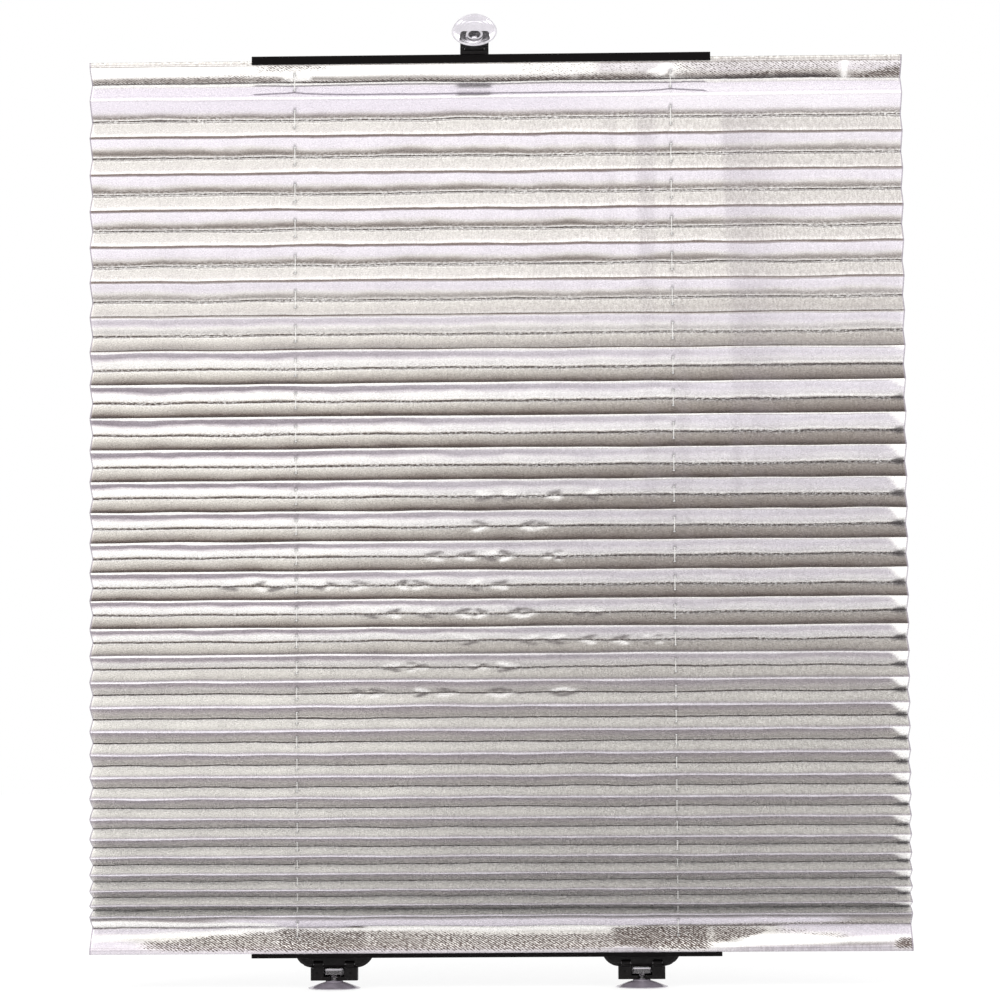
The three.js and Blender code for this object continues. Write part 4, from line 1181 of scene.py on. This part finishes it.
    def _round_holes(self, points: np.ndarray, x: np.ndarray, share: np.ndarray,
                     cords: Sequence[float]) -> None:
        """Moves the eight points round each hole on to a circle in the panel, centred on the cord."""
        middle = np.nonzero(np.isclose(share, HOLE_SHARE))[0]
        for cord in cords:
            column = nearest(x, cord)
            for row in middle:
                centre = points[row, column].copy()
                for i in (-1, 0, 1):
                    for j in (-1, 0, 1):
                        if i or j:
                            off = points[row + i, column + j] - centre
                            points[row + i, column + j] = centre + off * self.hole / np.linalg.norm(off)

    def _strip(self, name: str, points: np.ndarray, grid_x: np.ndarray, grid_v: np.ndarray,
               fields: dict[str, np.ndarray], share: np.ndarray, pleat_v: np.ndarray, upward: np.ndarray,
               x: np.ndarray, cords: Sequence[float], finishes: Finishes) -> bpy.types.Object:
        """Makes one closed strip: a front, a back one gauge behind it, and walls at its rims and holes."""
        rows, columns = grid_x.shape
        shift = np.array([0, self.gauge / 2, 0])
        front, back = (points - shift).reshape(-1, 3), (points + shift).reshape(-1, 3)
        total = rows * columns
        faces = grid_faces(rows, columns)
        i, j = np.divmod(np.arange(len(faces)), columns - 1)
        keep = np.ones(len(faces), bool)
        walls = []
        middle = np.nonzero(np.isclose(share, HOLE_SHARE))[0]
        for cord in cords:
            column = nearest(x, cord)
            for row in middle:
                keep &= ~(np.isin(i, (row - 1, row)) & np.isin(j, (column - 1, column)))
                ring = [(-1, -1), (-1, 0), (-1, 1), (0, 1), (1, 1), (1, 0), (1, -1), (0, -1)]
                ids = [(row + a) * columns + column + b for a, b in ring]
                walls += [(p, q, q + total, p + total) for p, q in zip(ids, ids[1:] + ids[:1])]
        front_faces = faces[keep]
        back_faces = front_faces[:, ::-1] + total
        rims = []
        across, up = np.arange(columns), np.arange(rows) * columns
        for ids, flip in ((across, True), (across + (rows - 1) * columns, False),
                          (up, False), (up + columns - 1, True)):
            quads = np.stack([ids[:-1], ids[1:], ids[1:] + total, ids[:-1] + total], axis=1)
            rims.append(quads[:, ::-1] if flip else quads)
        everything = np.concatenate([front_faces, back_faces, np.array(walls).reshape(-1, 4)[:, ::-1], *rims])
        made = make_mesh(name, np.concatenate([front, back]), everything, [finishes.foil, finishes.back])
        mesh = made.data
        slots = np.ones(len(everything), np.int32)
        slots[:len(front_faces)] = 0
        mesh.polygons.foreach_set("material_index", slots)
        corner = corner_points(mesh)
        flat = np.stack([grid_x.ravel(), grid_v.ravel()], axis=1)
        add_uv(mesh, "flat_film", flat[corner % total])
        row = (corner % total) // columns
        face_row = np.repeat(row.reshape(-1, 4).min(axis=1), 4)
        sign = np.where(upward[face_row] > 0, -1.0, 1.0)
        pleat = np.stack([grid_x.ravel()[corner % total], sign * np.abs(pleat_v[row])], axis=1)
        add_uv(mesh, "pleat", pleat)
        for label, values in fields.items():
            attribute = mesh.attributes.new(label, "FLOAT", "POINT")
            attribute.data.foreach_set("value", np.tile(values.ravel(), 2).astype(np.float32))
        return made

    @staticmethod
    def _follow(strip: bpy.types.Object, z0: float, z1: float, bottom: float, top: float, length: float,
                width: float) -> None:
        """Bakes the strip's place into its mesh, and hides the plain film that it stands in for."""
        blend_in_step(strip)
        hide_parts("pleated_film")


def blend_in_step(piece: bpy.types.Object) -> None:
    """Bakes a piece's place into its mesh.

    Args:
        piece: The piece, one of a row of them.
    """
    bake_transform(piece)


def tube(name: str, path: np.ndarray, radius: float, sides: int,
         material: bpy.types.Material) -> bpy.types.Object:
    """Makes a round cord along a path that lies in a plane of constant Y.

    Args:
        name: The piece's name.
        path: The points that it follows.
        radius: Its radius.
        sides: How many sides its section has.
        material: Its material, on a UV map of turns round it and metres along it.

    Returns:
        The new object, closed at both ends.
    """
    tangent = np.gradient(path, axis=0)
    tangent /= np.linalg.norm(tangent, axis=1)[:, None]
    across = np.array([0.0, 1.0, 0.0])
    other = np.cross(tangent, across)
    angle = np.linspace(0, 2 * math.pi, sides, endpoint=False)
    ring = radius * (np.cos(angle)[None, :, None] * across + np.sin(angle)[None, :, None] * other[:, None, :])
    points = (path[:, None, :] + ring).reshape(-1, 3)
    faces = grid_faces(len(path), sides, around=True)
    caps = []
    for start, flip in ((0, False), ((len(path) - 1) * sides, True)):
        for i in range(0, sides - 2, 2):
            quad = [start, start + i + 1, start + i + 2, start + (i + 3) % sides]
            caps.append(quad if flip else quad[::-1])
    everything = np.concatenate([faces, np.array(caps)])
    made = make_mesh(name, points, everything, [material])
    corner = corner_points(made.data)
    length = np.concatenate([[0], np.cumsum(np.linalg.norm(np.diff(path, axis=0), axis=1))])
    turns = np.abs(np.linspace(-1, 1, sides, endpoint=False))
    add_uv(made.data, "along_cord", np.stack([turns[corner % sides], length[corner // sides]], axis=1))
    return made


@dataclass
class CordRun:
    """A cord from its spool's underside, round the guide pin and straight up to the pull bar."""

    radius: float = 0.35 * MM
    wound_radius: float = 6.25 * MM
    sides: int = 10
    rings: int = 14
    arc_points: int = 12
    bottom: float = 39.6 * MM
    top: float = 790 * MM
    shares: tuple[float, ...] = (0, 0.01, 0.035, 0.08, 0.15, 0.25, 0.37, 0.5, 0.63, 0.75, 0.85, 0.92, 0.965,
                                 0.99, 1)

    def build(self, side: Side, finishes: Finishes) -> list[bpy.types.Object]:
        """Builds one cord on the places of its spool, guide pin and node, in runs that end face to face.

        Its route is the line that touches the spool's winding below and the guide pin, the arc round the
        pin, and a vertical to the top of the cord's node.

        Args:
            side: Which of the two cords.
            finishes: The shade's materials.

        Returns:
            The cord's runs, from the spool up.
        """
        node = f"{side.label}_cord"
        lo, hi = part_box(node)
        spool_lo, spool_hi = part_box(f"{side.label}_cord_spool")
        pin_lo, pin_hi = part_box(f"{side.label}_guide_pin")
        outer = hi.x if side is Side.RIGHT else lo.x
        x = outer - side.value * self.radius
        spool = np.array([(spool_lo.x + spool_hi.x) / 2, (spool_lo.z + spool_hi.z) / 2])
        pin = np.array([(pin_lo.x + pin_hi.x) / 2, (pin_lo.z + pin_hi.z) / 2])
        reach = abs(x - pin[0])
        gap = pin - spool
        distance = float(np.hypot(*gap))
        lean = math.acos((self.wound_radius - reach) / distance)
        low = -lean if side is Side.RIGHT else -math.pi + lean
        normal = np.array([math.cos(low), math.sin(low)])
        leave = spool + self.wound_radius * normal
        arc_end = 0.0 if side is Side.RIGHT else -math.pi
        turn = np.linspace(low, arc_end, self.arc_points)
        arc = pin + reach * np.stack([np.cos(turn), np.sin(turn)], axis=1)
        levels = self.bottom + (self.top - self.bottom) * np.array(self.shares)
        ends = np.concatenate([[arc[-1, 1]], levels[1:-1], [hi.z]])
        runs = []
        for number, (low_end, high_end) in enumerate(zip(ends, ends[1:])):
            rise = np.linspace(low_end, high_end, self.rings)
            flat = np.stack([np.full(len(rise), arc[-1, 0]), rise], axis=1)
            if number == 0:
                flat = np.concatenate([[leave], arc, flat[1:]])
            path = np.stack([flat[:, 0], np.zeros(len(flat)), flat[:, 1]], axis=1)
            made = tube(f"{side.label}_cord_run_{number + 1:02d}", path, self.radius, self.sides,
                        finishes.braid)
            blend_in_step(made)
            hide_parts(node)
            runs.append(made)
        return runs


@dataclass
class SuctionCup:
    """A suction cup as a lathe: skirt with moulding rings, lip, boss, neck and head."""

    radius: float
    lip_width: float
    lip_thickness: float
    hollow: float
    boss_radius: float
    boss_top: float
    neck_radius: float
    head_radius: float
    head_low: float
    head_high: float
    head_round: float
    head_half_depth: float
    segments: int = 96

    def profile(self) -> np.ndarray:
        """The outline as (radius, height): an S-curve under the skirt, its lip, and cubic curves over it."""
        t = np.linspace(0, 1, 22)[:, None]

        def cubic(a: tuple, b: tuple, c: tuple, d: tuple) -> np.ndarray:
            """A cubic curve through a and d with the handles b and c."""
            a, b, c, d = (np.array(p) for p in (a, b, c, d))
            return (1 - t) ** 3 * a + 3 * (1 - t) ** 2 * t * b + 3 * (1 - t) * t ** 2 * c + t ** 3 * d

        r, h = self.radius, self.hollow
        under = cubic((1e-5, h), (0.4 * r, h), (0.72 * r, 0.35 * h), (r - self.lip_width, 0))
        lip = [(r - 0.15 * MM, 0), (r, 0.15 * MM), (r, self.lip_thickness - 0.15 * MM),
               (r - 0.2 * MM, self.lip_thickness)]
        top = self.boss_top
        over = cubic((r - 0.9 * MM, self.lip_thickness), (0.78 * r, 0.28 * top), (0.6 * r, 0.66 * top),
                     (self.boss_radius, 0.84 * top))
        ripple = 0.07 * MM * np.sin(np.linspace(0, 6 * math.pi, len(over))) ** 2
        over[:, 1] += ripple
        rest = [(self.boss_radius - 0.1 * MM, top - 0.25 * MM), (self.boss_radius - 0.4 * MM, top),
                (self.neck_radius + 0.5 * MM, top), (self.neck_radius, top + 0.3 * MM),
                (self.neck_radius, self.head_low - 0.05 * MM), (self.neck_radius + 0.4 * MM, self.head_low)]
        rim = self.head_radius
        curve = np.linspace(0, math.pi / 2, 7)
        shoulder = np.stack([rim - self.head_round * (1 - np.cos(curve)),
                             self.head_high - self.head_round * (1 - np.sin(curve))], axis=1)
        head = [(rim - 0.4 * MM, self.head_low + 0.1 * MM), (rim, self.head_low + 0.5 * MM), *shoulder,
                (0.35 * rim, self.head_high), (1e-5, self.head_high)]
        return np.concatenate([under, np.array(lip), over, np.array(rest), np.array(head)])

    def points(self) -> tuple[np.ndarray, np.ndarray]:
        """The lathe's points, axis along Z with the lip at 0, and its faces."""
        outline = self.profile()
        angle = np.linspace(0, 2 * math.pi, self.segments, endpoint=False)
        px = outline[:, 0, None] * np.cos(angle)
        py = outline[:, 0, None] * np.sin(angle)
        pz = np.broadcast_to(outline[:, 1, None], px.shape)
        head = outline[:, 1] > self.head_low - 0.01 * MM
        py[head] = np.clip(py[head], -self.head_half_depth, self.head_half_depth)
        grid = np.stack([px, py, pz], axis=-1)
        faces = grid_faces(len(outline), self.segments, around=True)
        first = np.arange(self.segments)
        last = first + (len(outline) - 1) * self.segments
        caps = [first[[0, i, i + 1, i + 2]][::-1] for i in range(1, self.segments - 2, 2)]
        caps += [last[[0, i, i + 1, i + 2]] for i in range(1, self.segments - 2, 2)]
        return grid.reshape(-1, 3), np.concatenate([faces, np.array(caps)])

    def build(self, name: str, node: str, body: str, finishes: Finishes,
              place: Callable[[np.ndarray], np.ndarray]) -> bpy.types.Object:
        """Builds the cup where its node is.

        Args:
            name: The piece's name.
            node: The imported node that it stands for.
            body: The body that it rides on.
            finishes: The shade's materials.
            place: Carries the lathe's points to the cup's place.

        Returns:
            The cup.
        """
        points, faces = self.points()
        skirt = finishes.smoky if body.endswith("foot") else finishes.vinyl
        made = make_mesh(name, place(points), faces, [skirt, finishes.glassy, finishes.milky])
        corner = points[faces]
        low, high = corner[:, :, 2].min(axis=1), corner[:, :, 2].max(axis=1)
        reach = np.hypot(corner[:, :, 0], corner[:, :, 1]).max(axis=1)
        # Slot 2, milky vinyl on the lip, the head's shoulder and a ring on the boss, is partly the thicker
        # vinyl's own cloudiness and partly a painted highlight along those edges.
        slots = (low > self.boss_top + 0.1 * MM).astype(np.int32)
        shoulder = (high > self.head_high - self.head_round) & (high < self.head_high - 0.01 * MM)
        slots[shoulder & (low > self.boss_top)] = 2
        slots[(high < self.lip_thickness + 0.02 * MM) & (reach > self.radius - self.lip_width - 0.1 * MM)] = 2
        slots[(reach < self.boss_radius) & (reach > 0.80 * self.boss_radius) & (high < self.boss_top)] = 2
        made.data.polygons.foreach_set("material_index", slots)
        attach(made, body)
        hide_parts(node)
        return made


@dataclass
class Feet:
    """The two lower cups, each on its swinging bracket."""

    cup: SuctionCup = field(default_factory=lambda: SuctionCup(
        radius=22.3 * MM, lip_width=1.3 * MM, lip_thickness=0.6 * MM, hollow=3.6 * MM,
        boss_radius=7.5 * MM, boss_top=6.2 * MM, neck_radius=2.6 * MM, head_radius=8.2 * MM,
        head_low=11.3 * MM, head_high=16.4 * MM, head_round=1.2 * MM, head_half_depth=5 * MM))

    def build(self, finishes: Finishes) -> None:
        """Builds both cups at the middles of their nodes."""
        for side in Side:
            lo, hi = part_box(f"{side.label}_cup")
            centre = np.array([(lo.x + hi.x) / 2, (lo.y + hi.y) / 2, lo.z])
            self.cup.build(f"{side.label}_vinyl_cup", f"{side.label}_cup", f"{side.label}_foot", finishes,
                           lambda points, centre=centre: points + centre)
            LOG.info("%s vinyl cup at %s", side.label, centre.round(4))


@dataclass
class TabCup:
    """The upper cup, buttoned through the leaning tab."""

    lean: float = math.radians(40)
    cup_place: float = 13.5 * MM
    tab_half: float = 1 * MM
    gap: float = 0.3 * MM
    depth: float = 7.4 * MM
    curl: float = math.radians(25)
    cup: SuctionCup = field(default_factory=lambda: SuctionCup(
        radius=19.5 * MM, lip_width=1.3 * MM, lip_thickness=0.6 * MM, hollow=4 * MM, boss_radius=7.5 * MM,
        boss_top=7.4 * MM, neck_radius=2.4 * MM, head_radius=3.9 * MM, head_low=10 * MM, head_high=12 * MM,
        head_round=0.9 * MM, head_half_depth=3.9 * MM))

    def build(self, finishes: Finishes) -> None:
        """Builds the cup: its axis is turned to look along +Y, and then leans back about the tab's pin."""
        lo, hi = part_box("tab_pin")
        pin = (np.array(lo) + np.array(hi)) / 2

        def place(points: np.ndarray) -> np.ndarray:
            """Turns the lathe's axis from Z to Y, curls the skirt's upper half, and leans it on the tab."""
            x, up = points[:, 0], -points[:, 1]
            back = points[:, 2] - self.cup.boss_top
            curl = self.curl * smoothstep((up - 0.1 * self.cup.radius) / (0.6 * self.cup.radius))
            curl = curl * (points[:, 2] < self.cup.boss_top)
            y = back * np.cos(curl) - up * np.sin(curl) - self.tab_half - self.gap
            z = back * np.sin(curl) + up * np.cos(curl) + self.cup_place
            turned = np.stack([x, y * math.cos(self.lean) + z * math.sin(self.lean),
                               -y * math.sin(self.lean) + z * math.cos(self.lean)], axis=1)
            return turned + pin

        self.cup.build("upper_vinyl_cup", "upper_cup", "upper_tab", finishes, place)
        LOG.info("upper vinyl cup on the tab's pin at %s", pin.round(4))


@dataclass
class Hardware:
    """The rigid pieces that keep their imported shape: each gets a finish, and the large ones softer edges."""

    edge: float = 0.3 * MM
    merge: float = 0.001 * MM
    sharp: float = math.radians(40)

    def build(self, frame: dict, finishes: Finishes) -> None:
        """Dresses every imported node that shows."""
        looks = {"film": finishes.foil, "black_plastic": finishes.moulded, "clear_vinyl": finishes.vinyl,
                 "white_plastic": finishes.acetal, "cord_line": finishes.braid, "steel": finishes.steel}
        slots = {part["node"]: part["material_slot"] for part in frame["record"]["subparts"]}
        for name, node in frame["nodes"].items():
            material = looks[slots[name]]
            if name in ("pull_bar", "reel_rail"):
                material = finishes.drawn
            node.data.materials.clear()
            node.data.materials.append(material)
            if slots[name] == "black_plastic":
                self._soften(node)
        LOG.info("dressed %d packed nodes", len(frame["nodes"]))

    def _soften(self, node: bpy.types.Object) -> None:
        """Welds the node's triangles and rounds its sharp edges, both as modifiers."""
        weld = node.modifiers.new("weld", "WELD")
        weld.merge_threshold = self.merge
        bevel = node.modifiers.new("soft_edges", "BEVEL")
        bevel.width = self.edge
        bevel.segments = 2
        bevel.limit_method = "ANGLE"
        bevel.angle_limit = self.sharp
        bevel.use_clamp_overlap = True


def stand(thing: bpy.types.Object, right: np.ndarray, up: np.ndarray, back: np.ndarray,
          place: Sequence[float]) -> None:
    """Puts a lamp or a camera in the scene at a place, with its X, Y and Z along three directions."""
    rows = [[right[i], up[i], back[i], place[i]] for i in range(3)]
    thing.matrix_world = Matrix([*rows, [0, 0, 0, 1]])
    bpy.context.scene.collection.objects.link(thing)


@dataclass(frozen=True)
class Lamp:
    """A square lamp that looks at the middle of the shade, and that nothing mirrors."""

    name: str
    place: tuple[float, float, float]
    size: float
    power: float
    colour: Colour
    aim: tuple[float, float, float] = (0.0, 0.0, 0.4)

    def hang(self) -> None:
        """Makes the lamp."""
        light = bpy.data.lights.new(self.name, "AREA")
        light.size = self.size
        light.energy = self.power
        light.color = self.colour
        lamp = bpy.data.objects.new(self.name, light)
        lamp.visible_glossy = False
        back = np.array(self.place) - np.array(self.aim)
        back /= np.linalg.norm(back)
        right = np.cross([0.0, 0.0, 1.0], back)
        right /= np.linalg.norm(right)
        stand(lamp, right, np.cross(back, right), back, self.place)


@dataclass
class Studio:
    """A pale floor, soft lamps and the surroundings that the foil mirrors."""

    floor_half: float = 6.0
    floor_drop: float = 0.3 * MM
    floor_tone: Colour = (0.92, 0.92, 0.92)
    floor_roughness: float = 0.9
    floor_glow: float = 0.72
    ambient: float = 1.12
    lamps: tuple[Lamp, ...] = (
        Lamp("key", (-1.6, -2.2, 2.4), 1.8, 38.0, (1.0, 0.98, 0.95)),
        Lamp("fill", (2.2, -1.9, 1.3), 1.6, 15.0, (0.99, 0.98, 1.0)),
        Lamp("rim", (0.4, 2.2, 2.0), 1.6, 16.0, (1.0, 1.0, 1.0)),
    )
    mirrored: Stops = (
        (0.00, (1.10, 1.08, 1.10)),
        (0.20, (1.62, 1.60, 1.60)),
        (0.36, (1.86, 1.83, 1.83)),
        (0.46, (1.60, 1.57, 1.60)),
        (0.50, (1.05, 1.02, 1.05)),
        (0.53, (0.50, 0.48, 0.49)),
        (0.57, (0.60, 0.58, 0.58)),
        (0.62, (1.62, 1.60, 1.57)),
        (0.72, (2.00, 1.98, 1.95)),
        (0.84, (1.60, 1.58, 1.58)),
        (0.93, (1.10, 1.08, 1.10)),
    )

    def build(self) -> None:
        """Builds the floor, the lamps and the world."""
        self._floor()
        self._world()
        for lamp in self.lamps:
            lamp.hang()

    def _floor(self) -> None:
        """Lays the floor: pale, a little brighter to the camera, so that its far edge melts into white."""
        half = self.floor_half
        square = np.array([[-half, -half], [half, -half], [half, half], [-half, half]])
        points = np.column_stack([square, np.full(4, -self.floor_drop)])
        material, bench, shader = new_material("pale_floor")
        bench.dress(shader, {"Base Color": (*self.floor_tone, 1.0), "Roughness": self.floor_roughness})
        glow = bench.add("ShaderNodeEmission")
        bench.dress(glow, {"Color": (1.0, 1.0, 1.0, 1.0), "Strength": 1.0})
        seen = bench.add("ShaderNodeLightPath").outputs["Is Camera Ray"]
        mixed = bench.cross(bench.times(seen, self.floor_glow), shader.outputs[0], glow.outputs[0])
        output = next(n for n in bench.tree.nodes if n.type == "OUTPUT_MATERIAL")
        bench.feed(output.inputs["Surface"], mixed)
        floor = make_mesh("floor", points, np.array([[0, 1, 2, 3]]), [material], smooth=False)
        floor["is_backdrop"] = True

    def _world(self) -> None:
        """Sets the world: white to the eye and through clear things, tones to what mirrors, else even light.

        The mirrored tones go by the angle about X: 0.5 of the way is the viewer's side, 0.75 is
        overhead, 0.25 is below, and the ends are behind the shade.
        """
        world = bpy.data.worlds.new("studio")
        world.use_nodes = True
        bpy.context.scene.world = world
        bench = Bench(world.node_tree)
        bench.tree.nodes.clear()
        split = bench.split(bench.add("ShaderNodeTexCoord").outputs["Generated"])
        toward = bench.times(split["Y"], -1.0)
        angle = bench.maths("ARCTAN2", split["Z"], toward)
        tones = bench.ramp(bench.scaled(angle, 0.5 / math.pi, 0.5), self.mirrored)
        aside = bench.remap(split["X"], -0.3, 0.3, 1.08, 0.82)
        paths = bench.add("ShaderNodeLightPath")
        white = (1.0, 1.0, 1.0, 1.0)
        shown = []
        for colour, strength in ((tones, aside), (white, 1.0), (white, self.ambient)):
            node = bench.add("ShaderNodeBackground")
            bench.dress(node, {"Color": colour, "Strength": strength})
            shown.append(node.outputs[0])
        ring, plain, even = shown
        eye = bench.maths("MAXIMUM", paths.outputs["Is Camera Ray"], paths.outputs["Is Transmission Ray"])
        unseen = bench.cross(paths.outputs["Is Glossy Ray"], even, ring)
        output = bench.add("ShaderNodeOutputWorld")
        bench.feed(output.inputs["Surface"], bench.cross(eye, unseen, plain))


@dataclass
class Viewpoint:
    """The camera: low, three metres away, with a long lens, looking a little up."""

    place: tuple[float, float, float] = (0.0827, -3.0, 0.2486)
    yaw: float = math.radians(-1.331)
    pitch: float = math.radians(3.182)
    roll: float = math.radians(-0.381)
    lens: float = 126.1
    sensor: float = 36.0

    def build(self) -> None:
        """Builds the camera from its forward direction, turned by the roll about it."""
        forward = np.array([math.sin(self.yaw) * math.cos(self.pitch),
                            math.cos(self.yaw) * math.cos(self.pitch), math.sin(self.pitch)])
        level = np.array([math.cos(self.yaw), -math.sin(self.yaw), 0.0])
        upright = np.cross(level, forward)
        right = math.cos(self.roll) * level + math.sin(self.roll) * upright
        up = -math.sin(self.roll) * level + math.cos(self.roll) * upright
        data = bpy.data.cameras.new("viewpoint")
        data.lens = self.lens
        data.sensor_width = self.sensor
        camera = bpy.data.objects.new("viewpoint", data)
        stand(camera, right, up, -forward, self.place)
        bpy.context.scene.camera = camera


def corners(box: tuple) -> list[list[float]]:
    """A box's two corners as plain lists."""
    return [[float(value) for value in corner] for corner in box]


def main() -> None:
    """Builds the shade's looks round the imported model."""
    logging.basicConfig(level=logging.INFO, format="%(name)s: %(message)s")
    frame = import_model()
    packed = corners(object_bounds())
    scene = bpy.context.scene
    scene.view_settings.view_transform = "Standard"
    Viewpoint().build()
    finishes = Finishes()
    Hardware().build(frame, finishes)
    runs = [CordRun().build(side, finishes) for side in Side]
    places = [side.value * CORD_X for side in Side]
    strips = PleatedFilm().build(finishes, places)
    LOG.info("film in %d strips, %d cords", len(strips), len(runs))
    Feet().build(finishes)
    TabCup().build(finishes)
    Studio().build()
    {"packed": packed, "shown": corners(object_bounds())}


if __name__ == "__main__":
    main()
